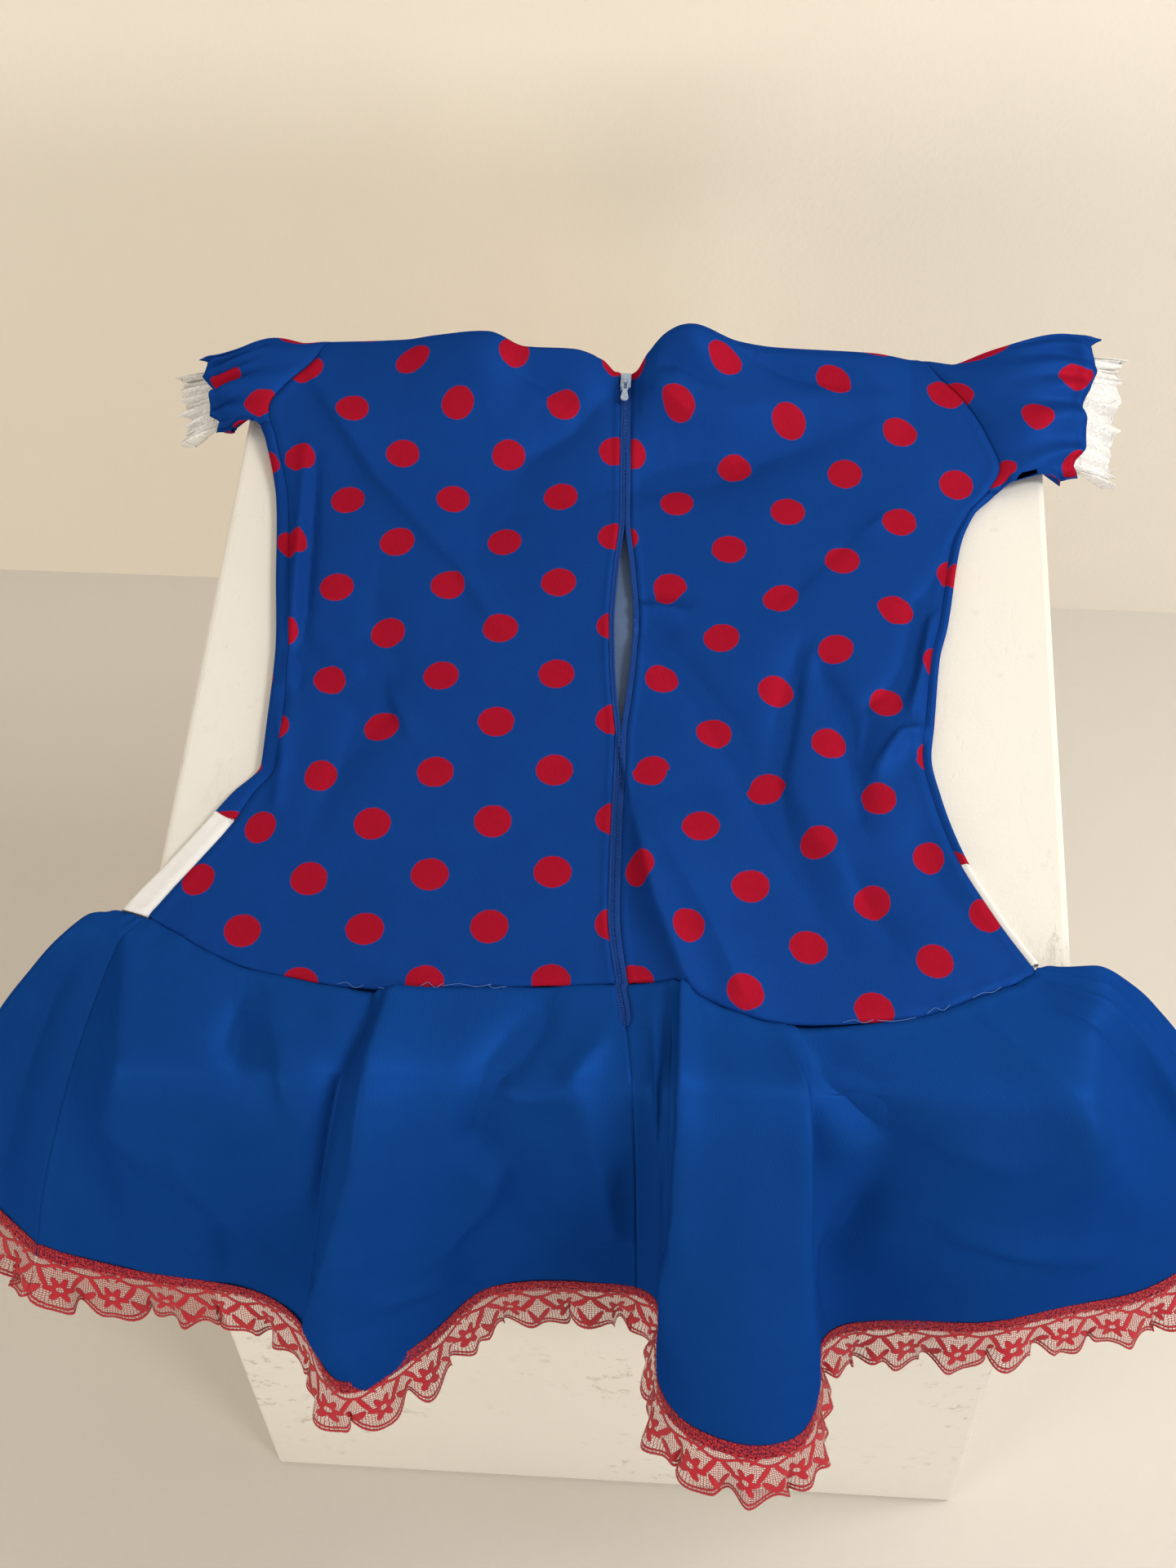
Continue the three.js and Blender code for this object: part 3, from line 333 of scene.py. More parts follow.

# %% [markdown]
# ## The lie of the bodice
# The upper cloth is a height over the plinth: low at the rolled sides, a little higher within,
# and rising to the neck, where it rolls over behind. Folds are added as soft ridges and
# troughs along short lines. Placing them one by one keeps them where the real dress creases;
# a cloth simulation would put them anywhere. The large folds match the imported wall, and the
# fine ones come on top, as sharp or soft as each real crease.

# %% Fine creases of the bodice
CREASING = {"depth": 3.0, "sharpness": 1.4, "ripple": 0.3, "edge": 9, "sink": 0.6}
CREASES = table(
    "name x y height left right",
    ("shoulder line", (-214, -160, -98), (232, 150, 78), 1.5, 3, 10),
    ("shoulder tail", (-104, -92, -80), (86, 66, 46), 0.9, 3, 7),
    ("left tube", (-208, -201, -196), (176, 75, -6), 1.6, 3.5, 4),
    ("left tube valley", (-201, -193, -188), (170, 72, -8), -1.3, 3, 4),
    ("left waist a", (-199, -174, -140), (22, 0, -24), -1.3, 3, 9),
    ("left waist b", (-186, -160, -128), (46, 22, 6), -0.9, 5, 12),
    ("left waist ridge", (-197, -190, -190), (-30, -60, -92), 1.3, 3, 5),
    ("left middle", (-152, -144, -166), (70, -18, -96), -0.9, 6, 14),
    ("left small", (-134, -127, -118), (-10, -26, -42), 1.1, 2.5, 7),
    ("left hip soft", (-210, -170, -130), (-120, -140, -150), -1.2, 16, 20),
    ("left breast", (-60, -90, -100), (190, 120, 60), -1.4, 22, 26),
    ("left neck pull", (-20, -42, -70), (228, 196, 176), -1.6, 8, 12),
    ("left neck fold", (-80, -60, -40), (232, 224, 214), -1.8, 7, 10),
    ("right pinch a", (5, 17, 34), (66, 66, 62), -1.5, 2.5, 4),
    ("right pinch b", (6, 18, 30), (58, 60, 58), 1.2, 2.5, 4),
    ("right pinch c", (6, 16, 28), (40, 44, 42), -0.9, 3, 4),
    ("right long", (9, 38, 62), (44, 4, -38), -1.6, 4, 12),
    ("right long low", (56, 86, 118), (-30, -90, -152), -1.0, 6, 16),
    ("step edge", (10, 26, 49), (-86, -150, -206), 2.2, 3, 14),
    ("step fold", (24, 52, 76), (-100, -150, -203), 1.6, 9, 12),
    ("right slant", (98, 119, 140), (76, 105, 128), -1.2, 4, 10),
    ("right slant low", (104, 122, 150), (84, 112, 134), 0.9, 5, 7),
    ("right middle a", (100, 94, 86), (32, -20, -90), -1.3, 5, 9),
    ("right middle b", (108, 104, 98), (30, -12, -60), 1.0, 4, 8),
    ("right middle c", (113, 129, 137), (18, -19, -84), -1.5, 4, 7),
    ("right tuck", (182, 160, 146), (-20, -26, -50), 2.0, 2.5, 6),
    ("right tuck top", (164, 142, 138), (20, -6, -40), -1.6, 4, 6),
    ("right pucker a", (171, 166, 158), (74, 34, 0), -1.8, 4, 5),
    ("right pucker b", (178, 173, 166), (60, 24, -8), 1.6, 3, 4),
    ("right pucker c", (150, 140, 134), (4, -14, -46), 1.2, 4, 6),
    ("right low a", (130, 140, 156), (-112, -138, -164), -1.1, 6, 10),
    ("right low b", (96, 112, 132), (-60, -96, -128), 0.9, 8, 12),
    ("right hip", (168, 176, 196), (-90, -118, -146), -1.0, 8, 9),
    ("underarm", (206, 186, 172), (146, 96, 62), -1.8, 5, 9),
    ("underarm ridge", (212, 196, 182), (150, 116, 84), 1.2, 4, 5),
    ("right bust", (-2, 62, 126), (154, 176, 200), -1.6, 10, 20),
    ("right bust high", (20, 60, 110), (196, 208, 222), 1.2, 12, 16),
    ("neck roll", (8, 22, 44), (236, 236, 226), -2.4, 6, 10),
    ("neck lip", (4, 14, 30), (222, 216, 206), 1.6, 5, 9),
    ("right neck soft", (70, 100, 140), (246, 236, 232), -1.8, 8, 12),
)
print("fine creases", len(CREASES))

# %% The height of one fold
FADE = {"from": 0.08, "to": 0.92, "power": 0.5}


def fold_height(fold, x, y):
    """The height that one fold adds: full along its middle, fading at both ends."""
    best = np.full(np.shape(x), np.inf)
    side = np.ones(np.shape(x))
    share = np.zeros(np.shape(x))
    for i in range(2):
        dx = fold["x"][i + 1] - fold["x"][i]
        dy = fold["y"][i + 1] - fold["y"][i]
        size = math.hypot(dx, dy)
        along = np.clip(((x - fold["x"][i]) * dx + (y - fold["y"][i]) * dy) / size, 0, size)
        off_x = x - fold["x"][i] - dx * along / size
        off_y = y - fold["y"][i] - dy * along / size
        distance = np.hypot(off_x, off_y)
        nearer = distance < best
        best = np.where(nearer, distance, best)
        side = np.where(nearer, np.where(dx * off_y - dy * off_x < 0, -1, 1), side)
        share = np.where(nearer, (i + along / size) / 2, share)
    width = np.where(side < 0, fold["left"], fold["right"])
    fade = np.sin(math.pi * lerp(FADE["from"], FADE["to"], share)) ** FADE["power"]
    return fold["height"] * fade * np.exp(-((best / width) ** fold.get("profile", 2.0)))


def ripple(x, y):
    """Slight unevenness of cloth that lies loose, from a few long waves."""
    waves = ((0.061, 0.023, 0.4), (-0.027, 0.049, 1.7), (0.083, -0.057, 2.9), (0.019, 0.101, 5.1))
    return sum(np.sin(a * x + b * y + c) for a, b, c in waves) / len(waves)


# %% The upper cloth
def upper(x, y, fine=True):
    """Height of the middle of the upper cloth above the plinth's top."""
    inset = np.minimum(x - outline_left(y), outline_right(y) - x)
    base = lerp(EDGE_TOP, CENTRE_TOP, smooth(inset / LOFT["edge"]))
    rise = smooth((y - ROLL["start"]) / (crest_y(x) - ROLL["start"]))
    sharper = 1 + np.maximum(0, crest(x) - LOFT["low"]) / LOFT["steep"]
    folds = sum(fold_height(fold, x, y) for fold in FOLDS)
    low = REST + WALL + SIDE_SEAM
    flat = np.maximum(base + folds * smooth(inset / LOFT["folds"]), low)
    height = lerp(flat, crest(x), rise**sharper)
    if not fine:
        return height
    sharp = {"profile": CREASING["sharpness"]}
    crease = sum(fold_height({**fold, **sharp}, x, y) for fold in CREASES)
    crease = crease + CREASING["ripple"] * ripple(x, y)
    crease = CREASING["depth"] * crease * smooth(inset / CREASING["edge"])
    return np.maximum(height + crease, low - CREASING["sink"])


def upper_point(x, t, fine=True):
    """The upper cloth: up to the crest, then rolling down behind it."""
    x, t = np.broadcast_arrays(np.asarray(x, float), np.asarray(t, float))
    y0 = crest_y(x)
    angle = np.clip((t - y0) / ROLL["travel"], 0, 2) * math.pi / 2
    middle = (crest(x) + REST) / 2
    half = (crest(x) - REST) / 2
    on_top = t <= y0
    y = np.where(on_top, t, y0 + ROLL["depth"] * np.sin(angle))
    z = np.where(on_top, upper(x, np.minimum(t, y0), fine), middle + half * np.cos(angle))
    return np.stack([x, y, TOP + z], -1)


# %% The rolled sides and the front panel
SIDES = {
    "left": (outline_left, strip_left, UNDERARM["left"], 1),
    "right": (outline_right, strip_right, UNDERARM["right"], -1),
}


def side_roll(side, t):
    """The rolled side edge at one height of the bodice; it opens out into the armhole."""
    outline, strip, underarm, sign = SIDES[side]
    shut = 1 - smooth((t - underarm) / OPENING)
    edge = outline(t)
    level = np.minimum(t, SIDE_ROLL["level"])
    top = upper(edge + sign * SIDE_ROLL["inside"], level, fine=False)
    radius = (top - REST) / 2
    inner = edge + sign * radius * shut
    return edge, radius * shut, inner, inner + sign * strip(t) * shut


def front_point(station, t):
    """The front panel round its section: strip, roll, underside, roll and strip."""
    station, t = np.broadcast_arrays(np.asarray(station, float), np.asarray(t, float))
    _, radius_l, inner_l, seam_l = side_roll("left", t)
    _, radius_r, inner_r, seam_r = side_roll("right", t)
    left = station < 2.5
    place = np.where(left, station, 5 - station)
    sign = np.where(left, 1, -1)
    inner = np.where(left, inner_l, inner_r)
    seam = np.where(left, seam_l, seam_r)
    radius = np.where(left, radius_l, radius_r)
    strip_x = lerp(seam, inner, np.minimum(place, 1))
    angle = np.clip(place - 1, 0, 1) * math.pi
    roll_x = inner - sign * radius * np.sin(angle)
    top = upper(inner, t)
    roll_z = (top + REST) / 2 + (top - REST) / 2 * np.cos(angle)
    under_x = lerp(inner_l, inner_r, np.clip(station - 2, 0, 1))
    y0 = crest_y(under_x)
    turn = np.clip((t - y0) / ROLL["travel"], 0, 2) * math.pi / 2
    under_z = REST + (crest(under_x) - REST) / 2 * (1 - np.cos(turn))
    under_y = np.where(t <= y0, t, y0 + ROLL["depth"] * np.sin(turn))
    on_strip = place <= 1
    on_roll = place < 2
    x = np.where(on_strip, strip_x, np.where(on_roll, roll_x, under_x))
    y = np.where(on_roll, t, under_y)
    z = np.where(on_strip, upper(strip_x, t), np.where(on_roll, roll_z, under_z))
    return np.stack([x, y, TOP + z], -1)


SETTLING = {"rounds": 24, "share": 0.6}


def settle(u, v, sides, ends, x_of):
    """Places on a patch whose sides depend on their height, and its ends on where they are."""
    limits = []
    for end in (0, 1):
        t = np.full(np.shape(u), float(ends(0.0)[end]))
        for _ in range(SETTLING["rounds"]):
            across = lerp(*sides(t), u)
            t = lerp(t, ends(x_of(across, t))[end], SETTLING["share"])
        limits.append(t)
    t = lerp(limits[0][None, :], limits[1][None, :], v[:, None])
    return lerp(*sides(t), u[None, :]), t


print("middle of the bodice", round(float(upper(0.0, 0.0)), 1), "mm over the plinth")

# %% [markdown]
# ## The threads of the flounce
# A circular skirt hangs from its hip seam in threads. Each one leaves the seam flat, bends over
# the plinth's edge, and falls to its own place on the hem; flutes come from where those places
# are. One function draws every thread and keeps it clear of the plinth.


# %% Room round the plinth
def keep_clear(points, distance):
    """Moves points straight away from the plinth until they are clear of it."""
    reach = HALF - PLINTH["edge"]
    core = np.stack([
        np.clip(points[..., 0], -reach, reach),
        np.clip(points[..., 1], -reach, reach),
        np.minimum(points[..., 2], TOP - PLINTH["edge"]),
    ], -1)
    away = points - core
    length = np.linalg.norm(away, axis=-1)
    inside = length < TINY
    core[..., 2] = np.where(inside, TOP - PLINTH["edge"], core[..., 2])
    away = np.where(inside[..., None], np.array([0, 0, 1.0]), away)
    length = np.where(inside, 1.0, length)
    needed = distance + PLINTH["edge"]
    moved = core + away / length[..., None] * np.asarray(needed)[..., None]
    return np.where((length >= needed)[..., None] & ~inside[..., None], points, moved)


def bezier(a, b, c, d, count):
    """Points on cubic curves, for many curves at once."""
    t = np.linspace(0, 1, count + 1)[None, :, None]
    a, b, c, d = (p[:, None, :] for p in (a, b, c, d))
    return (1 - t) ** 3 * a + 3 * (1 - t) ** 2 * t * b + 3 * (1 - t) * t**2 * c + t**3 * d


def unit(v):
    """The same directions with a length of one."""
    return v / np.maximum(np.linalg.norm(v, axis=-1, keepdims=True), TINY)


# %% Threads over the plinth's edge
KNEE = 0.4
# Satin is too springy to lie sharply over an edge, so each thread is eased round it
EASE = {"rounds": 34, "across": 8, "from": 0.12, "least": {"front": 1.7, "back": 3.4}}
BEND = {"off": 0.1, "rise": 0.5, "leave": 0.4, "meet": 0.3, "turn": 0.2, "end": 0.35, "settled": 1.4}
THREAD_STEPS = {"on the plinth": 24, "hanging": 72}
LEAST_KNEE = 14


def thread_lines(start, hem, lift, clear_top, clear_hem):
    """Points and running length of each thread, and how much of it lies on the plinth."""
    travel = hem - start
    shares = np.ones(len(start))
    for axis in (0, 1):
        off = np.abs(hem[:, axis]) > HALF
        limit = (np.sign(travel[:, axis]) * HALF - start[:, axis]) / travel[:, axis]
        shares = np.where(off, np.minimum(shares, limit), shares)
    shares = np.clip(shares, 0, 1)
    plan = travel * np.array([1, 1, 0])
    beyond = np.linalg.norm(plan, axis=1) * (1 - shares)
    plan = unit(plan)
    knee = lerp(start, hem, shares[:, None])
    knee = knee + plan * (clear_top + BEND["off"] * beyond)[:, None]
    knee[:, 2] = TOP + np.maximum(lift, clear_top + BEND["rise"])
    down = np.array([0, 0, -1.0])
    bend = unit(plan * np.array([1, 1, 0]) + down)
    flat = np.linalg.norm(knee - start, axis=1)[:, None]
    fall = np.linalg.norm(knee - hem, axis=1)[:, None]
    hang = unit(unit(hem - knee) + down)
    meet = np.minimum(BEND["meet"] * flat, clear_top[:, None])
    leaving = start + plan * flat * BEND["leave"]
    on_top = bezier(start, leaving, knee - bend * meet, knee, THREAD_STEPS["on the plinth"])
    turning = knee + bend * fall * BEND["turn"]
    ending = hem - hang * fall * BEND["end"]
    hanging = bezier(knee, turning, ending, hem, THREAD_STEPS["hanging"])
    path = np.concatenate([on_top, hanging[:, 1:]], 1)
    drop = np.clip((TOP - path[..., 2]) / (TOP - hem[:, None, 2]), 0, 1)
    distance = lerp(clear_top[:, None], clear_hem[:, None], smooth(drop * BEND["settled"]))
    points = keep_clear(path, distance)
    for _ in range(EASE["rounds"]):
        points[:, 1:-1] = (points[:, :-2] + 2 * points[:, 1:-1] + points[:, 2:]) / 4
    steps = np.linalg.norm(np.diff(points, axis=1), axis=2)
    runs = np.concatenate([np.zeros((len(start), 1)), np.cumsum(steps, 1)], 1)
    reach = HALF - PLINTH["edge"]
    sideways = np.hypot(
        points[..., 0] - np.clip(points[..., 0], -reach, reach),
        points[..., 1] - np.clip(points[..., 1], -reach, reach),
    )
    above = points[..., 2] - np.minimum(points[..., 2], TOP - PLINTH["edge"])
    on_plinth = above > sideways
    knee_runs = [run[flags][-1] if flags.any() else 0 for run, flags in zip(runs, on_plinth)]
    return points, runs, np.maximum(np.array(knee_runs), LEAST_KNEE)


def with_share(rows):
    """Adds to each thread its share of the hem's length."""
    hems = np.array([[row["x"], row["y"], row["z"]] for row in rows], float)
    steps = np.linalg.norm(np.diff(hems, axis=0), axis=1)
    runs = np.concatenate([[0], np.cumsum(steps)])
    return [{**row, "share": run / runs[-1]} for row, run in zip(rows, runs)], runs[-1]


back_threads, BACK_HEM = with_share(BACK_THREADS)
front_threads, FRONT_HEM = with_share(FRONT_THREADS)
print("back hem", round(BACK_HEM), "mm, front hem", round(FRONT_HEM), "mm")

# %% A flounce as one surface
GRID = {"shares": 900, "rows": 250}
KERNEL_REACH = 3


def ease_across(net, spread):
    """Evens a net of threads across, with its two end threads kept in place."""
    reach = KERNEL_REACH * spread
    kernel = np.exp(-0.5 * (np.arange(-reach, reach + 1) / spread) ** 2)
    kernel /= kernel.sum()
    before = 2 * net[:1] - net[1 : reach + 1][::-1]
    after = 2 * net[-1:] - net[-reach - 1 : -1][::-1]
    wide = np.concatenate([before, net, after])
    return sum(k * wide[i : i + len(net)] for i, k in enumerate(kernel))


def down_thread(v, knee, length):
    """Running length at row v: its first rows lie on the plinth, the others hang."""
    return np.where(v < KNEE, knee * v / KNEE, lerp(knee, length, (v - KNEE) / (1 - KNEE)))


def flounce_field(rows, start_of, clear_of, least):
    """A flounce as a surface of (share, v), read from a fine net of its threads."""
    at = {key: column(rows, "share", key) for key in rows[0] if key != "share"}
    shares = np.linspace(0, 1, GRID["shares"] + 1)
    hem = np.stack([at["x"](shares), at["y"](shares), at["z"](shares)], -1)
    start = start_of(at, shares)
    points, runs, knees = thread_lines(start, hem, at["lift"](shares), *clear_of(at, shares))
    v = np.linspace(0, 1, GRID["rows"] + 1)
    net = np.empty((len(shares), len(v), 3))
    for i, (line, run, knee) in enumerate(zip(points, runs, knees)):
        places = down_thread(v, knee, run[-1])
        for axis in range(3):
            net[i, :, axis] = np.interp(places, run, line[:, axis])
    lengths = runs[:, -1]
    eased = ease_across(net, EASE["across"])
    net = lerp(net, eased, smooth(v / EASE["from"])[None, :, None])
    net = keep_clear(net, np.full(net.shape[:2], least))

    def surface(share, v_at):
        """Points at a share of the hem and a row."""
        share, v_at = np.broadcast_arrays(np.asarray(share, float), np.asarray(v_at, float))
        a = np.clip(share, 0, 1) * GRID["shares"]
        b = np.clip(v_at, 0, 1) * GRID["rows"]
        i = np.minimum(a.astype(int), GRID["shares"] - 1)
        j = np.minimum(b.astype(int), GRID["rows"] - 1)
        fa, fb = (a - i)[..., None], (b - j)[..., None]
        near = lerp(net[i, j], net[i + 1, j], fa)
        far = lerp(net[i, j + 1], net[i + 1, j + 1], fa)
        return lerp(near, far, fb)

    def run_down(share, v_at):
        """Distance from the hip seam at the same place."""
        knee = np.interp(share, shares, knees)
        return down_thread(v_at, knee, np.interp(share, shares, lengths))

    return surface, run_down


# %% Both flounces
def back_start(at, share):
    """Where each back thread leaves the hip seam."""
    seam = at["seam"](share)
    return upper_point(seam, hip_back(seam) - HAIR)


def front_start(at, share):
    """Where each front thread leaves its seam, round the section of the front panel."""
    station = at["station"](share)
    level = hip_front(-HALF)
    t = hip_front(front_point(station, level)[..., 0]) - SIDE_SEAM
    return front_point(station, t)


def front_clear(at, share):
    """Room under the front flounce; near the sides it lies as far off as the back one."""
    near = at["near"](share)
    return [lerp(front, back, near) for front, back in zip(CLEAR["front"], CLEAR["back"])]


def back_clear(at, share):
    """Room under the back flounce, the same all along."""
    return [np.full(len(share), room) for room in CLEAR["back"]]


back_surface, back_run = flounce_field(
    back_threads, back_start, back_clear, EASE["least"]["back"]
)
front_surface, front_run = flounce_field(
    front_threads, front_start, front_clear, EASE["least"]["front"]
)
SEAM_REACH = 16


def back_cloth(share, v):
    """The back flounce, its side edges brought onto the front one, as the side seams hold them."""
    share, v = np.broadcast_arrays(np.asarray(share, float), np.asarray(v, float))
    place = back_surface(share, v)
    for end in (0.0, 1.0):
        gap = front_surface(np.full_like(v, end), v) - back_surface(np.full_like(v, end), v)
        near = smooth(1 - np.abs(share - end) * BACK_HEM / SEAM_REACH)
        place = place + gap * near[..., None]
    return place


CENTRE_SHARE = float(column(back_threads, "seam", "share")(CENTRE_SEAM))
CENTRE_HIP = float(hip_back(CENTRE_SEAM))
SLIT_END = KNEE * (CENTRE_HIP - ZIP_END) / float(back_run(CENTRE_SHARE, KNEE))
print("the back is", round(float(back_run(CENTRE_SHARE, 1.0))), "mm long at the centre seam")

# %% [markdown]
# ## Shells instead of simulated cloth
# Each piece is a grid of points on its curved form, joined into four-sided faces. A Solidify
# modifier gives it the thickness of cloth and closes its edges. A grid keeps rows and columns
# in order, so the same grid also gives the UV map on which dots, weave and lace are drawn.


# %% Mesh makers
def grid_normals(points, outward, wrap=False):
    """Outward directions over a grid of points."""
    if wrap:
        across = np.roll(points, -1, 1) - np.roll(points, 1, 1)
    else:
        across = np.gradient(points, axis=1)
    return outward * unit(np.cross(across, np.gradient(points, axis=0)))


def link_object(name, mesh):
    """Puts a mesh into the scene as an object at the origin."""
    obj = bpy.data.objects.new(name, mesh)
    bpy.context.collection.objects.link(obj)
    return obj


def grid_object(name, points, uv, outward=1, wrap=False, keep=None):
    """A named mesh from a grid of points in millimetres and its UV map in metres."""
    rows, columns = points.shape[:2]
    cells = columns if wrap else columns - 1
    j, i = np.meshgrid(np.arange(rows - 1), np.arange(cells), indexing="ij")
    if keep is not None:
        j, i = j[keep], i[keep]
    j, i = j.ravel(), i.ravel()
    beside = (i + 1) % columns
    low, high = j * columns, (j + 1) * columns
    faces = np.stack([low + i, low + beside, high + beside, high + i], 1)
    corners = np.stack([uv[j, i], uv[j, i + 1], uv[j + 1, i + 1], uv[j + 1, i]], 1)
    if outward < 0:
        faces = faces[:, ::-1]
        corners = corners[:, ::-1]
    used = np.unique(faces)
    order = np.zeros(rows * columns, int)
    order[used] = np.arange(len(used))
    mesh = bpy.data.meshes.new(name)
    mesh.from_pydata((points.reshape(-1, 3)[used] * MM).tolist(), [], order[faces].tolist())
    layer = mesh.uv_layers.new(name="UVMap")
    layer.data.foreach_set("uv", corners.reshape(-1).astype(np.float32))
    mesh.shade_smooth()
    return link_object(name, mesh)


def add_thickness(obj, thickness, wrong_side=False):
    """Closes a surface into a thin shell, with its own material inside if it has one."""
    shell = obj.modifiers.new("Thickness", "SOLIDIFY")
    shell.thickness = thickness * MM
    shell.offset = 0
    shell.use_rim = True
    shell.material_offset = 1 if wrong_side else 0
    return obj


def finish_piece(obj, materials, nodes=(), body="root"):
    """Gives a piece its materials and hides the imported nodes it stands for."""
    for material in materials:
        obj.data.materials.append(material)
    if nodes:
        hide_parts(*nodes)
    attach(obj, body)
    print("made", obj.name, len(obj.data.polygons), "faces")
    return obj


def lengths_across(points):
    """Running length along each row of a grid."""
    steps = np.linalg.norm(np.diff(points, axis=1), axis=2)
    return np.concatenate([np.zeros((len(points), 1)), np.cumsum(steps, 1)], 1)


def surface_area(points):
    """Area of a grid of points, in square millimetres."""
    one = points[1:, 1:] - points[:-1, :-1]
    other = points[1:, :-1] - points[:-1, 1:]
    return float(np.linalg.norm(np.cross(one, other), axis=-1).sum() / 2)


SEAM_LOOK = {"groove": 0.8, "narrow": 1.8, "ridge": 0.45, "beside": 4.5, "wide": 3}


def seam_dip(distance):
    """The groove of a seam and the soft ridge of its allowance beside it."""
    groove = SEAM_LOOK["groove"] * hump(distance, SEAM_LOOK["narrow"])
    return SEAM_LOOK["ridge"] * hump(distance - SEAM_LOOK["beside"], SEAM_LOOK["wide"]) - groove


# %% [markdown]
# ## Shader helpers
# A procedural pattern is arithmetic on coordinates. The helpers below add one node and return
# its output, so a formula reads in one line. Patterns that several materials share are node
# groups with named inputs; the shaders themselves stay in each material.


# %% One node at a time
def linear_tone(tone):
    """One screen tone from 0 to 255 as the linear number that shaders use."""
    share = tone / 255
    return share / 12.92 if tone < 11 else ((share + 0.055) / 1.055) ** 2.4


def srgb(red, green, blue):
    """A colour as it is picked from a screen, for a shader's socket."""
    return (linear_tone(red), linear_tone(green), linear_tone(blue), 1.0)


def feed(tree, socket, value):
    """Connects a socket, or sets it to a constant."""
    if isinstance(value, bpy.types.NodeSocket):
        tree.links.new(value, socket)
    else:
        socket.default_value = value


def calc(tree, operation, *values, clamp=False):
    """One Math node; its output."""
    node = tree.nodes.new("ShaderNodeMath")
    node.operation = operation
    node.use_clamp = clamp
    for socket, value in zip(node.inputs, values):
        feed(tree, socket, value)
    return node.outputs[0]


def plus(tree, one, other):
    """The sum of two values."""
    return calc(tree, "ADD", one, other)


def minus(tree, one, other):
    """One value less another."""
    return calc(tree, "SUBTRACT", one, other)


def times(tree, one, other):
    """The product of two values."""
    return calc(tree, "MULTIPLY", one, other)


def vector_calc(tree, operation, *values, output="Vector"):
    """One Vector Math node; the output that is asked for."""
    node = tree.nodes.new("ShaderNodeVectorMath")
    node.operation = operation
    places = [s for s in node.inputs if s.type == "VECTOR"]
    if operation == "SCALE":
        places = [node.inputs[0], node.inputs["Scale"]]
    for socket, value in zip(places, values):
        feed(tree, socket, value)
    return node.outputs[output]


def remap(tree, value, low, high, to_low=0.0, to_high=1.0):
    """A smooth step of a value from one range to another."""
    node = tree.nodes.new("ShaderNodeMapRange")
    node.interpolation_type = "SMOOTHSTEP"
    for socket, given in zip(node.inputs, (value, low, high, to_low, to_high)):
        feed(tree, socket, given)
    return node.outputs[0]


def noise(tree, vector, scale, detail=3.0, roughness=0.5):
    """A Noise Texture; its grey value."""
    node = tree.nodes.new("ShaderNodeTexNoise")
    feed(tree, node.inputs["Vector"], vector)
    node.inputs["Scale"].default_value = scale
    node.inputs["Detail"].default_value = detail
    node.inputs["Roughness"].default_value = roughness
    return node.outputs["Fac"]


# A Mix node keeps sockets of every type under the same names, so its colours go by place
MIX_COLOURS = {"one": 6, "other": 7, "mixed": 2}


def mix_colour(tree, share, one, other):
    """A Mix node on colours."""
    node = tree.nodes.new("ShaderNodeMix")
    node.data_type = "RGBA"
    feed(tree, node.inputs["Factor"], share)
    feed(tree, node.inputs[MIX_COLOURS["one"]], one)
    feed(tree, node.inputs[MIX_COLOURS["other"]], other)
    return node.outputs[MIX_COLOURS["mixed"]]


print("royal blue as shaders take it", [round(n, 3) for n in srgb(20, 64, 138)[:3]])


# %% Groups and materials
def group_tree(name, inputs, outputs):
    """An empty node group with named sockets."""
    tree = bpy.data.node_groups.new(name, "ShaderNodeTree")
    for label, kind in inputs:
        tree.interface.new_socket(label, in_out="INPUT", socket_type=kind)
    for label, kind in outputs:
        tree.interface.new_socket(label, in_out="OUTPUT", socket_type=kind)
    return tree, tree.nodes.new("NodeGroupInput"), tree.nodes.new("NodeGroupOutput")


def use_group(tree, group, **values):
    """Puts a group into a tree and sets its inputs by name."""
    node = tree.nodes.new("ShaderNodeGroup")
    node.node_tree = group
    for label, value in values.items():
        feed(tree, node.inputs[label.replace("_", " ")], value)
    return node


def new_material(name, roughness):
    """A material with its main shader; returns it, its tree and that shader."""
    material = bpy.data.materials.new(name)
    material.use_nodes = True
    tree = material.node_tree
    shader = tree.nodes["Principled BSDF"]
    shader.inputs["Roughness"].default_value = roughness
    return material, tree, shader


def uv_of(tree):
    """The piece's own UV map, in metres of cloth."""
    return tree.nodes.new("ShaderNodeTexCoord").outputs["UV"]


def place_of(tree):
    """Places on a piece, in metres of the model."""
    return tree.nodes.new("ShaderNodeTexCoord").outputs["Object"]


def add_bump(tree, shader, height, distance, strength=1.0):
    """Feeds a height into the shader's normal."""
    node = tree.nodes.new("ShaderNodeBump")
    node.inputs["Strength"].default_value = strength
    node.inputs["Distance"].default_value = distance
    tree.links.new(height, node.inputs["Height"])
    tree.links.new(node.outputs["Normal"], shader.inputs["Normal"])


VECTOR = "NodeSocketVector"
FLOAT = "NodeSocketFloat"


# %% [markdown]
# ## Weave, dots and lace as node groups
# The satin's fine diagonal is two crossing waves, with slow noise for the way stretch cloth
# catches light unevenly. Dots are found by the nearest point of a lattice, so they stay crisp
# at any distance. The lace is a net of small uneven cells, with flowers, leaves and cords
# drawn over it.


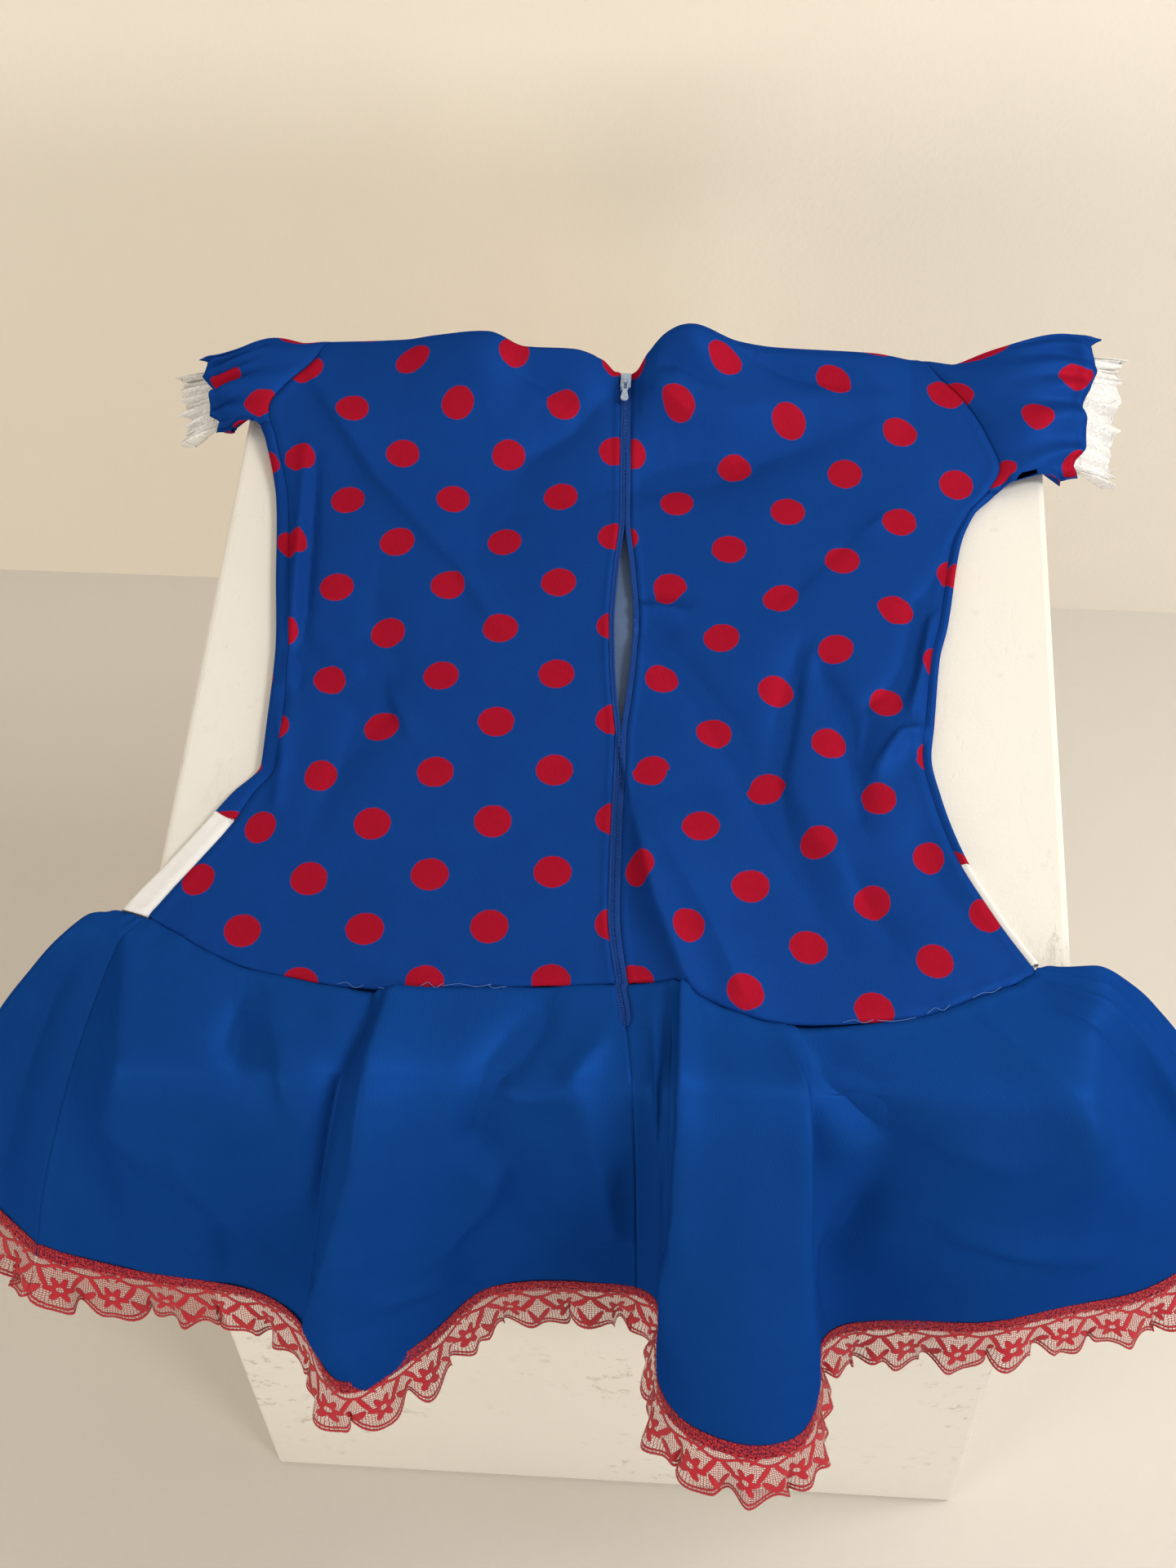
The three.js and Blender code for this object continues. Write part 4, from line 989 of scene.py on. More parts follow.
# %% Weave group
def make_weave_group():
    """Fine diagonal threads: a height for bumps and a tone near one for colour."""
    inputs = [("Vector", VECTOR), ("Threads", FLOAT)]
    tree, given, out = group_tree("Fine weave", inputs, [("Height", FLOAT), ("Tone", FLOAT)])
    place = given.outputs["Vector"]
    slanted = tree.nodes.new("ShaderNodeMapping")
    slanted.inputs["Rotation"].default_value = (0, 0, math.radians(28))
    slanted.inputs["Scale"].default_value = (1.0, 0.22, 1.0)
    tree.links.new(place, slanted.inputs["Vector"])
    scaled = vector_calc(tree, "SCALE", slanted.outputs["Vector"], given.outputs["Threads"])
    height = noise(tree, scaled, 1.0, 2.0, 0.6)
    slow = noise(tree, place, 60.0, 4.0, 0.6)
    fine = noise(tree, place, 900.0, 2.0)
    tone = plus(tree, 0.78, times(tree, slow, 0.32))
    tone = plus(tree, tone, times(tree, minus(tree, fine, 0.5), 0.22))
    tree.links.new(height, out.inputs["Height"])
    tree.links.new(tone, out.inputs["Tone"])
    return tree


# %% Dots group
def make_dots_group():
    """Round dots on a lattice: one inside a dot and zero outside."""
    names = ("Vector", "Origin", "Step A", "Step B", "Count A", "Count B")
    inputs = [(name, VECTOR) for name in names] + [("Radius", FLOAT)]
    tree, given, out = group_tree("Lattice dots", inputs, [("Mask", FLOAT)])
    place = vector_calc(tree, "SUBTRACT", given.outputs["Vector"], given.outputs["Origin"])
    parts = []
    for letter in "AB":
        per_metre = given.outputs[f"Count {letter}"]
        count = vector_calc(tree, "DOT_PRODUCT", place, per_metre, output="Value")
        off = minus(tree, count, calc(tree, "ROUND", count))
        parts.append(vector_calc(tree, "SCALE", given.outputs[f"Step {letter}"], off))
    offset = vector_calc(tree, "ADD", *parts)
    distance = vector_calc(tree, "LENGTH", offset, output="Value")
    uneven = times(tree, minus(tree, noise(tree, place, 260.0), 0.5), 0.0012)
    distance = plus(tree, distance, uneven)
    radius = given.outputs["Radius"]
    soft = 0.0004
    edge = (minus(tree, radius, soft), plus(tree, radius, soft))
    mask = remap(tree, distance, *edge, 1.0, 0.0)
    tree.links.new(mask, out.inputs["Mask"])
    return tree


# %% Lace group
def make_lace_group():
    """A strip of lace: u runs along it and v across, from its header to its scallops."""
    inputs = [("Vector", VECTOR), ("Repeat", FLOAT), ("Width", FLOAT), ("Net", FLOAT)]
    outputs = [("Cover", FLOAT), ("Dense", FLOAT), ("Inside", FLOAT)]
    tree, given, out = group_tree("Lace strip", inputs, outputs)
    split = tree.nodes.new("ShaderNodeSeparateXYZ")
    tree.links.new(given.outputs["Vector"], split.inputs[0])
    along = calc(tree, "DIVIDE", split.outputs[0], given.outputs["Repeat"])
    across = calc(tree, "DIVIDE", split.outputs[1], given.outputs["Width"])
    aspect = calc(tree, "DIVIDE", given.outputs["Repeat"], given.outputs["Width"])
    near = minus(tree, calc(tree, "FRACT", along), 0.5)
    x = times(tree, near, aspect)

    def within(value, limit, soft=0.012):
        """One below a limit, fading to none just past it."""
        return remap(tree, value, limit, plus(tree, limit, soft), 1.0, 0.0)

    def squares(one, other):
        """The sum of two squares."""
        return plus(tree, times(tree, one, one), times(tree, other, other))

    def rosette(centre_x, centre_y, petals, radius):
        """A flower with round petals and an open middle."""
        dx = minus(tree, x, centre_x)
        dy = minus(tree, across, centre_y)
        reach = calc(tree, "SQRT", squares(dx, dy))
        turn = times(tree, calc(tree, "ARCTAN2", dy, dx), petals)
        petal = times(tree, calc(tree, "COSINE", turn), 0.26)
        edge = times(tree, radius, plus(tree, 0.74, petal))
        whole = within(reach, edge)
        return calc(tree, "SUBTRACT", whole, within(reach, radius * 0.2), clamp=True)

    def leaf(centre_x, centre_y, half_x, half_y, slant):
        """A pair of slanted leaves, one on each side of the repeat's middle."""
        dx = minus(tree, calc(tree, "ABSOLUTE", x), centre_x)
        dy = minus(tree, across, centre_y)
        dx = plus(tree, dx, times(tree, dy, slant))
        a = calc(tree, "DIVIDE", dx, half_x)
        b = calc(tree, "DIVIDE", dy, half_y)
        return within(squares(a, b), 0.85, 0.3)

    def line(value, half):
        """A cord where a value is near zero."""
        return within(calc(tree, "ABSOLUTE", value), half, 0.008)

    swing = calc(tree, "COSINE", times(tree, along, 2 * math.pi))
    edge = plus(tree, 0.93, times(tree, swing, -0.06))
    to_edge = minus(tree, edge, across)
    vine = minus(tree, across, plus(tree, 0.3, times(tree, swing, 0.05)))
    knots = remap(tree, noise(tree, given.outputs["Vector"], 520.0, 2.0), 0.42, 0.56, 0.0, 1.0)
    header = times(tree, within(across, 0.22), knots)
    dense = rosette(0.0, 0.6, 6.0, 0.19)
    for shape in (
        leaf(0.24, 0.46, 0.05, 0.14, 0.7),
        leaf(0.3, 0.7, 0.05, 0.12, -0.6),
        leaf(0.12, 0.25, 0.035, 0.08, 0.9),
        line(vine, 0.018),
        line(minus(tree, to_edge, 0.025), 0.014),
        line(minus(tree, to_edge, 0.095), 0.012),
        header,
    ):
        dense = calc(tree, "MAXIMUM", dense, shape)
    cells = tree.nodes.new("ShaderNodeTexVoronoi")
    cells.feature = "DISTANCE_TO_EDGE"
    tree.links.new(given.outputs["Vector"], cells.inputs["Vector"])
    tree.links.new(calc(tree, "DIVIDE", 1.0, given.outputs["Net"]), cells.inputs["Scale"])
    cells.inputs["Randomness"].default_value = 0.35
    net = remap(tree, cells.outputs["Distance"], 0.045, 0.11, 1.0, 0.0)
    inside = remap(tree, to_edge, -0.004, 0.004)
    cover = calc(tree, "MAXIMUM", times(tree, dense, 0.96), net)
    cover = times(tree, cover, inside)
    tree.links.new(cover, out.inputs["Cover"])
    tree.links.new(dense, out.inputs["Dense"])
    tree.links.new(inside, out.inputs["Inside"])
    return tree


weave_group = make_weave_group()
dots_group = make_dots_group()
lace_group = make_lace_group()
print("shader groups", [group.name for group in bpy.data.node_groups])

# %% [markdown]
# ## Materials
# The stretch satin is royal blue with crimson dots printed into the knit, a little shiny on
# folds. The flounce is a plain satin of much the same blue. Lace lets light through its net,
# which its Alpha does. The colours were matched under the lights set up below.

# %% Cloth colours and the dots
ROYAL = srgb(20, 64, 138)
ROYAL_DEEP = srgb(12, 46, 108)
FLOUNCE_BLUE = srgb(18, 66, 138)
FLOUNCE_DEEP = srgb(12, 48, 110)
CRIMSON = srgb(164, 22, 44)
CRIMSON_DEEP = srgb(118, 12, 32)
LACE_RED = srgb(184, 8, 34)
LACE_DEEP = srgb(120, 4, 26)


def lattice(a, b, origin):
    """Settings of the dots group from two steps of the printed pattern, in millimetres."""
    area = a[0] * b[1] - a[1] * b[0]
    return {
        "Origin": (origin[0] * MM, origin[1] * MM, 0),
        "Step_A": (a[0] * MM, a[1] * MM, 0),
        "Step_B": (b[0] * MM, b[1] * MM, 0),
        "Count_A": (b[1] / area / MM, -b[0] / area / MM, 0),
        "Count_B": (-a[1] / area / MM, a[0] / area / MM, 0),
    }


LEFT_DOTS = lattice((31.61, 36.54), (-35.73, 31.85), (-27.48, -197.31))
RIGHT_DOTS = lattice((34.97, 31.28), (-33.02, 36.47), (133.2, 236.9))
DOT_RADIUS = 10.4
print("dots", 2 * DOT_RADIUS, "mm across")

# %% Satin, plain cloth and lace
SHEEN = {"level": 0.0, "tint": (0.1, 0.35, 1.0, 1.0), "metallic": 0.3}


def satin(name, bright, deep, dots, roughness, threads=1500.0):
    """Woven satin in one colour, with printed dots if a lattice is given."""
    material, tree, shader = new_material(name, roughness)
    place = uv_of(tree)
    weave = use_group(tree, weave_group, Vector=place, Threads=threads)
    tone = weave.outputs["Tone"]
    colour = mix_colour(tree, tone, deep, bright)
    if dots:
        printed = use_group(tree, dots_group, Vector=place, Radius=DOT_RADIUS * MM, **dots)
        red = mix_colour(tree, tone, CRIMSON_DEEP, CRIMSON)
        colour = mix_colour(tree, printed.outputs["Mask"], colour, red)
    tree.links.new(colour, shader.inputs["Base Color"])
    add_bump(tree, shader, weave.outputs["Height"], 0.0003, 0.6)
    shader.inputs["Specular IOR Level"].default_value = SHEEN["level"]
    shader.inputs["Specular Tint"].default_value = SHEEN["tint"]
    shader.inputs["Metallic"].default_value = SHEEN["metallic"]
    return material


def plain_cloth(name, bright, deep, roughness, threads, bump):
    """Dull cloth, tape or thread with a visible weave."""
    material, tree, shader = new_material(name, roughness)
    weave = use_group(tree, weave_group, Vector=uv_of(tree), Threads=threads)
    colour = mix_colour(tree, weave.outputs["Tone"], srgb(*deep), srgb(*bright))
    tree.links.new(colour, shader.inputs["Base Color"])
    shader.inputs["IOR"].default_value = 1.3
    add_bump(tree, shader, weave.outputs["Height"], bump)
    return material


def lace(name, bright, deep, repeat, width, net, roughness, body):
    """Lace with see-through net, or with some body behind the net, as in a fluffy frill."""
    material, tree, shader = new_material(name, roughness)
    place = uv_of(tree)
    strip = use_group(tree, lace_group, Vector=place, Repeat=repeat, Width=width, Net=net)
    weave = use_group(tree, weave_group, Vector=place, Threads=1100.0)
    fuller = plus(tree, 0.75, times(tree, strip.outputs["Dense"], 0.25))
    tone = times(tree, weave.outputs["Tone"], fuller)
    tree.links.new(mix_colour(tree, tone, deep, bright), shader.inputs["Base Color"])
    backed = times(tree, strip.outputs["Inside"], body)
    tree.links.new(calc(tree, "MAXIMUM", strip.outputs["Cover"], backed), shader.inputs["Alpha"])
    add_bump(tree, shader, strip.outputs["Dense"], 0.0004)
    return material


# %% The cloths, threads and laces
dotted_left = satin("Dotted satin, left", ROYAL, ROYAL_DEEP, LEFT_DOTS, 0.58)
dotted_right = satin("Dotted satin, right", ROYAL, ROYAL_DEEP, RIGHT_DOTS, 0.58)
plain_satin = satin("Plain blue satin", FLOUNCE_BLUE, FLOUNCE_DEEP, None, 0.55, 1100.0)
PLAIN_CLOTHS = table(
    "name bright deep roughness threads bump",
    ("Wrong side of the satin", (96, 116, 150), (60, 80, 120), 0.8, 1500.0, 0.0002),
    ("White satin", (232, 230, 226), (200, 198, 196), 0.5, 1500.0, 0.0002),
    ("Zip tape", (8, 60, 134), (2, 38, 98), 0.7, 1200.0, 0.0002),
    ("Zip coil", (14, 66, 142), (4, 40, 104), 0.35, 700.0, 0.00005),
    ("White thread", (236, 234, 228), (206, 203, 198), 0.6, 900.0, 0.0002),
    ("Red thread", (168, 10, 36), (120, 6, 26), 0.6, 900.0, 0.0002),
    ("Pale blue thread", (84, 118, 180), (50, 84, 150), 0.6, 900.0, 0.0002),
)
wrong_side, white_satin, tape_cloth, coil, white_thread, red_thread, blue_thread = [
    plain_cloth(**row) for row in PLAIN_CLOTHS
]
red_lace = lace("Red galloon lace", LACE_RED, LACE_DEEP, 0.036, 0.050, 0.0016, 0.6, 0.0)
FRILL_WHITE = srgb(246, 244, 240)
FRILL_DEEP = srgb(220, 218, 214)
white_lace = lace("White frill lace", FRILL_WHITE, FRILL_DEEP, 0.014, 0.027, 0.0012, 0.8, 0.88)


# %% Zip metal and painted board
def metal(name):
    """Painted zip metal, a little worn."""
    material, tree, shader = new_material(name, 0.38)
    worn = noise(tree, place_of(tree), 900.0, 4.0)
    share = remap(tree, worn, 0.5, 0.7)
    colour = mix_colour(tree, share, srgb(158, 176, 204), srgb(196, 204, 216))
    tree.links.new(colour, shader.inputs["Base Color"])
    tree.links.new(remap(tree, worn, 0.3, 0.7, 0.3, 0.5), shader.inputs["Roughness"])
    shader.inputs["Metallic"].default_value = 0.6
    return material


def painted_board(name):
    """White paint rolled over board: stipple, grey scuffs and brown marks where it wore."""
    material, tree, shader = new_material(name, 0.55)
    place = place_of(tree)
    cloudy = noise(tree, place, 3.0, 4.0)
    colour = mix_colour(tree, cloudy, srgb(222, 217, 206), srgb(236, 232, 223))
    stretched = vector_calc(tree, "MULTIPLY", place, (90.0, 30.0, 90.0))
    streaks = remap(tree, noise(tree, stretched, 1.0, 5.0, 0.7), 0.56, 0.66)
    where = remap(tree, noise(tree, place, 7.0, 2.0), 0.48, 0.62)
    marks = times(tree, times(tree, streaks, where), 0.42)
    colour = mix_colour(tree, marks, colour, srgb(158, 140, 116))
    scuffs = remap(tree, noise(tree, place, 46.0, 6.0, 0.7), 0.6, 0.76)
    colour = mix_colour(tree, times(tree, scuffs, 0.3), colour, srgb(186, 180, 170))
    tree.links.new(colour, shader.inputs["Base Color"])
    stipple = plus(tree, noise(tree, place, 420.0, 3.0), times(tree, streaks, -0.4))
    add_bump(tree, shader, stipple, 0.0005, 0.5)
    tree.links.new(remap(tree, scuffs, 0.0, 1.0, 0.5, 0.75), shader.inputs["Roughness"])
    return material


zip_metal = metal("Zip metal")
board_paint = painted_board("Painted board")
print("materials", len(bpy.data.materials))

# %% [markdown]
# ## The bodice
# The bodice is four panels: two back panels beside the zip, the front panel that comes up
# round both sides, and a white front panel below it. Panels meet at seams, where the cloth
# dips into a groove. Each panel is read from the lie of the bodice above, at many more points
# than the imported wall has.

# %% Seam details
SHELL = {"satin": 0.7, "tape": 0.6, "lace": 0.35, "frill": 0.3}
TAPE_HALF = 3.0
GATHERS = {"hip": (0.3, 9), "zip": (0.22, 7)}


def half_zip(t):
    """Half the space between the two zip tapes."""
    return zip_apart(t) / 2 + SEAM / 2


def zip_edge(distance):
    """The turned edge beside the zip: a small ridge, then down to the tape."""
    return 0.75 * hump(distance - 2.4, 1.7) - hump(distance, 0.8)


def pucker(x):
    """Small uneven gathers beside a stitched seam."""
    return np.sin(x / 3.1 + 1.3 * np.sin(x / 17)) * (0.6 + 0.4 * np.sin(x / 29 + 1))


def even(*runs):
    """Shares from 0 to 1, with a chosen count in each stretch."""
    parts = [np.linspace(a, b, count, endpoint=False) for a, b, count in runs]
    return np.concatenate([*parts, [runs[-1][1]]])


# %% Back panels
def back_panel(side, across, along):
    """One back panel between the zip and the side seam, from hip to neck."""
    def sides(t):
        """Its edges at one height."""
        if side == "left":
            return side_roll("left", t)[3] + HAIR, zip_x(t) - half_zip(t) - TAPE_HALF
        return zip_x(t) + half_zip(t) + TAPE_HALF, side_roll("right", t)[3] - HAIR

    def ends(x):
        """Its hip seam and its neck edge at one place across."""
        return hip_back(x) + HAIR, neck_back(x)

    x, t = settle(across, along, sides, ends, lambda a, t: a)
    points = upper_point(x, t)
    low, high = sides(t)
    at_zip, at_side = (high - x, x - low) if side == "left" else (x - low, high - x)
    at_hip = t - hip_back(x)
    dip = zip_edge(at_zip) + seam_dip(at_side) + seam_dip(at_hip)
    for beside, distance, line in (("hip", at_hip, x), ("zip", at_zip, t)):
        height, width = GATHERS[beside]
        dip = dip + height * pucker(line) * hump(distance, width)
    points[..., 2] += dip * (t < crest_y(x))
    if side == "left":
        u = high[:, -1:] - lengths_across(points[:, ::-1])[:, ::-1]
    else:
        u = low[:, :1] + lengths_across(points)
    return points, np.stack([u, t], -1) * MM


ALONG = even((0, 0.04, 10), (0.04, 0.86, 140), (0.86, 1, 36))
ACROSS = {
    "left": even((0, 0.05, 8), (0.05, 0.95, 88), (0.95, 1, 10)),
    "right": even((0, 0.05, 10), (0.05, 0.36, 48), (0.36, 0.95, 54), (0.95, 1, 8)),
}
for side, printed in (("left", dotted_left), ("right", dotted_right)):
    points, uv = back_panel(side, ACROSS[side], ALONG)
    panel = add_thickness(grid_object(f"back_{side}_cloth", points, uv), SHELL["satin"])
    finish_piece(panel, [printed], [f"back_{side}"])


# %% [markdown]
# The front panel is one band of cloth round the underside. Its side edges roll up beside the
# back panels, and above the underarms those edges are cut away for the armholes. The station
# counts round its section: strip, roll, underside, roll, strip. Its wrong side shows, greyed,
# through the open zip.

# %% Front panel and white panel
LAST_STATION = 5


def front_panel(stations, along, ends):
    """A part of the front panel between two ends, with its UV, stations and heights."""
    whole = (0.0, float(LAST_STATION))
    x, t = settle(
        stations / LAST_STATION, along, lambda t: whole, ends, lambda s, t: front_point(s, t)[..., 0]
    )
    points = front_point(x, t)
    for side, place in (("left", x), ("right", LAST_STATION - x)):
        seam = side_roll(side, t)[3]
        on_strip = place <= 1
        at_seam = np.abs(points[..., 0] - seam)
        at_hip = t - hip_back(points[..., 0])
        dip = seam_dip(at_seam) + seam_dip(np.abs(at_hip)) * (at_hip > -1)
        points[..., 2] += np.where(on_strip, dip, 0)
    middle = len(stations) // 2
    run = lengths_across(points)
    run = run - run[:, middle : middle + 1]
    return points, np.stack([run, t], -1) * MM, np.broadcast_to(x, t.shape), t


def bodice_ends(x):
    """The dotted front panel's lower seam and neck edge."""
    return white_top(x) + HAIR, neck_front(x)


def white_ends(x):
    """The white panel's hip seam and upper seam."""
    return hip_front(x) + HAIR, white_top(x) - HAIR


STATIONS = even((0, 1, 8), (1, 2, 14), (2, 3, 60), (3, 4, 14), (4, LAST_STATION, 4))
points, uv, station, t = front_panel(STATIONS, even((0, 1, 120)), bodice_ends)
cell_station = (station[:-1, :-1] + station[1:, 1:]) / 2
cell_t = (t[:-1, :-1] + t[1:, 1:]) / 2
on_left = (cell_station < 2) & (cell_t > UNDERARM["left"])
on_right = (cell_station > 3) & (cell_t > UNDERARM["right"])
front = grid_object("front_bodice_cloth", points, uv, -1, keep=~(on_left | on_right))
add_thickness(front, SHELL["satin"], wrong_side=True)
finish_piece(front, [dotted_left, wrong_side], ["front_bodice"])

points, uv, station, t = front_panel(STATIONS, even((0, 1, 40)), white_ends)
white = add_thickness(grid_object("front_white_cloth", points, uv, -1), SHELL["satin"])
finish_piece(white, [white_satin], ["front_white"])

# %% [markdown]
# ## The flounce
# The skirt is a circular flounce: cut as a wide ring, it is smooth at the hip and falls in
# flutes at the hem. Both halves of its back meet at the centre seam below the zip, and the
# front lies under them and comes out at both sides. The surfaces are read from the threads,
# and softer creases are placed over them one by one: where along the hem, and how far down.

# %% Creases of the flounce
BACK_CREASES = table(
    "name x down height left right",
    ("dimple", (131, 135, 149), (24, 47, 66), -4.5, 9, 13),
    ("dimple rim", (152, 171, 182), (24, 51, 76), 2.2, 8, 15),
    ("left soft", (9, 75, 99), (105, 132, 158), 3.0, 14, 16),
    ("left soft low", (105, 117, 137), (130, 170, 213), 3.2, 9, 14),
    ("left curl", (122, 120, 115), (206, 238, 275), -3.5, 8, 9),
    ("flute ridge", (246, 229, 206), (6, 114, 190), 7.0, 6, 28),
    ("flute ridge low", (206, 190, 211), (190, 255, 296), 6.0, 6, 26),
    ("flute valley", (231, 212, 190), (14, 104, 185), -6.5, 18, 6),
    ("flute valley low", (190, 175, 172), (185, 235, 280), -5.0, 16, 6),
    ("swirl", (353, 328, 316), (18, 54, 94), -6.0, 13, 10),
    ("swirl low", (316, 337, 348), (94, 132, 208), -5.0, 11, 15),
    ("swirl rim", (343, 365, 388), (66, 62, 34), 3.5, 7, 10),
    ("swirl rim low", (330, 315, 282), (125, 165, 205), 3.5, 13, 10),
    ("hem soft", (242, 277, 319), (232, 236, 262), 2.4, 7, 9),
    ("by the seam", (372, 382, 388), (60, 120, 210), 3.5, 9, 9),
    ("seam pull", (414, 420, 430), (14, 60, 120), 2.6, 6, 8),
    ("flute two dark", (452, 464, 468), (44, 104, 176), -4.6, 13, 6),
    ("flute two left", (478, 492, 490), (6, 80, 150), 5.0, 5, 18),
    ("flute two left low", (490, 483, 486), (150, 200, 250), 4.5, 5, 16),
    ("flute two right", (612, 594, 585), (26, 83, 150), 3.6, 18, 6),
    ("flute two right low", (585, 586, 594), (150, 220, 280), 3.0, 16, 6),
    ("flute two shade", (630, 614, 606), (44, 110, 200), -6.5, 7, 20),
    ("right dimple", (650, 677, 662), (26, 81, 132), -7.5, 17, 28),
    ("right dimple low", (662, 646, 640), (132, 172, 226), -5.5, 12, 17),
    ("right rim", (692, 716, 744), (76, 88, 106), 2.8, 11, 15),
    ("right hem ridge", (714, 745, 792), (166, 189, 240), 4.2, 9, 13),
    ("right hem valley", (728, 752, 772), (198, 226, 242), -3.8, 8, 8),
    ("right slope", (776, 792, 841), (36, 115, 207), 3.4, 22, 26),
    ("side fold", (858, 878, 900), (26, 110, 200), -3.4, 15, 16),
    ("side ridge", (894, 904, 912), (20, 100, 210), 2.4, 10, 10),
)
FRONT_CREASES = table(
    "name x down height left right",
    ("left side soft", (165, 158, 150), (50, 140, 225), 3.6, 18, 20),
    ("left side dark", (62, 52, 42), (70, 150, 230), -4.0, 16, 13),
    ("left side rim", (96, 100, 108), (40, 120, 220), 3.0, 10, 14),
    ("right side soft", (948, 955, 962), (50, 130, 215), 3.0, 15, 17),
    ("right side dark", (908, 912, 918), (60, 130, 215), -3.4, 14, 13),
)
print("flounce creases", len(BACK_CREASES), "behind and", len(FRONT_CREASES), "in front")

# %% Flounce panels
FLUTING = {"depth": 1.5, "sharpness": 1.6, "sink": 0.2}
HIP_GATHERS = {"height": 0.35, "pitch": 0.42, "reach": 11}
FLOUNCE_RIPPLE = {"height": 0.5, "stretch": 1.3, "from": 40}


def crease_height(crease, along, down):
    """A fold given by its distance down from the hip seam."""
    level = tuple(-distance for distance in crease["down"])
    return fold_height({**crease, "y": level, "profile": FLUTING["sharpness"]}, along, -down)


def flounce_piece(surface, share, hem, run_at, creases, outward):
    """A flounce panel with its creases, hip gathers and seam groove."""
    rows = FLOUNCE_ROWS[:, None]
    points = surface(share, rows)
    normals = grid_normals(points, outward)
    along = share * hem
    down = run_at(share, rows)
    lift = FLUTING["depth"] * sum(crease_height(crease, along, down) for crease in creases)
    gathers = HIP_GATHERS["height"] * pucker(along * HIP_GATHERS["pitch"])
    lift = lift + seam_dip(down) + gathers * hump(down, HIP_GATHERS["reach"])
    waves = ripple(along, down * FLOUNCE_RIPPLE["stretch"])
    lift = lift + FLOUNCE_RIPPLE["height"] * waves * smooth(down / FLOUNCE_RIPPLE["from"])
    lift = lift * smooth(np.minimum(along, hem - along) / SEAM_REACH)
    least = EASE["least"]["back" if outward < 0 else "front"] - FLUTING["sink"]
    points = keep_clear(points + normals * lift[..., None], np.full(lift.shape, least))
    return points, np.stack([along, down], -1) * MM


FLOUNCE_ROWS = even((0, 0.05, 6), (0.05, KNEE, 25), (KNEE, 0.48, 16), (0.48, 1, 66))
SLIT_SHUTS = 0.05


def back_share(side, u, v):
    """Shares of the hem across one half, which stops beside the zip and then at the seam."""
    shut = smooth((v - SLIT_END) / SLIT_SHUTS + 1)
    beside = lerp(TAPE_HALF, 0.0, shut) / BACK_HEM
    if side == "left":
        return lerp(0.0, CENTRE_SHARE - beside, u)
    return lerp(CENTRE_SHARE + beside, 1.0, u)


for side, count, nodes in (
    ("left", 190, ["flounce_back_left"]),
    ("right", 260, ["flounce_back_right", "flounce_side_right"]),
):
    u = np.linspace(0, 1, count)[None, :]
    share = back_share(side, u, FLOUNCE_ROWS[:, None])
    points, uv = flounce_piece(back_cloth, share, BACK_HEM, back_run, BACK_CREASES, -1)
    half = add_thickness(grid_object(f"flounce_back_{side}_cloth", points, uv, -1), SHELL["satin"])
    finish_piece(half, [plain_satin], nodes)

FRONT_SHARES = even((0, 0.15, 56), (0.15, 0.3, 36), (0.3, 0.74, 36), (0.74, 1, 80))
FRONT_NODES = ["flounce_front_left", "flounce_front", "flounce_front_right"]
share = np.broadcast_to(FRONT_SHARES, (len(FLOUNCE_ROWS), len(FRONT_SHARES)))
points, uv = flounce_piece(front_surface, share, FRONT_HEM, front_run, FRONT_CREASES, 1)
front_flounce = add_thickness(grid_object("flounce_front_cloth", points, uv, 1), SHELL["satin"])
finish_piece(front_flounce, [plain_satin], FRONT_NODES)

# %% [markdown]
# ## Lace at the hem
# The galloon is a long strip of lace, gathered as it is sewn over the flounce's hem. Its
# header lies flat on the satin; below the stitching it stands off in waves. The waves have
# one long beat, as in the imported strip, with shorter uneven ones over it.

# %% The waves of gathered lace
GALLOON = {"width": 50, "overlap": 12, "pitch": 36, "flare": 8.5, "dip": 3.2, "fan": (3.8, 2.2)}
STAND = {"header": 0.75, "scallops": 1.8}
HANG = 230
LAP = GALLOON["overlap"] / GALLOON["width"]
LAP_SHARE = GALLOON["overlap"] / HANG * (1 - KNEE)
LOOK = {"step": 0.004, "above": 0.95}


def lace_waves(phase, beyond):
    """How far the lace stands off, dips and fans at a phase of its long beat."""
    drift = phase + 0.7 * np.sin(phase * 0.29)
    second = 0.32 * np.sin(2.3 * phase + 1.1 * np.sin(phase * 0.37))
    off = 0.55 + 0.5 * np.sin(drift) + second * beyond
    sway = GALLOON["dip"] * beyond * (np.cos(phase) + 0.5 * np.cos(2.3 * phase))
    fan = GALLOON["fan"][0] * np.cos(drift) + GALLOON["fan"][1] * np.sin(1.7 * phase + 0.8)
    return off, sway, fan * beyond


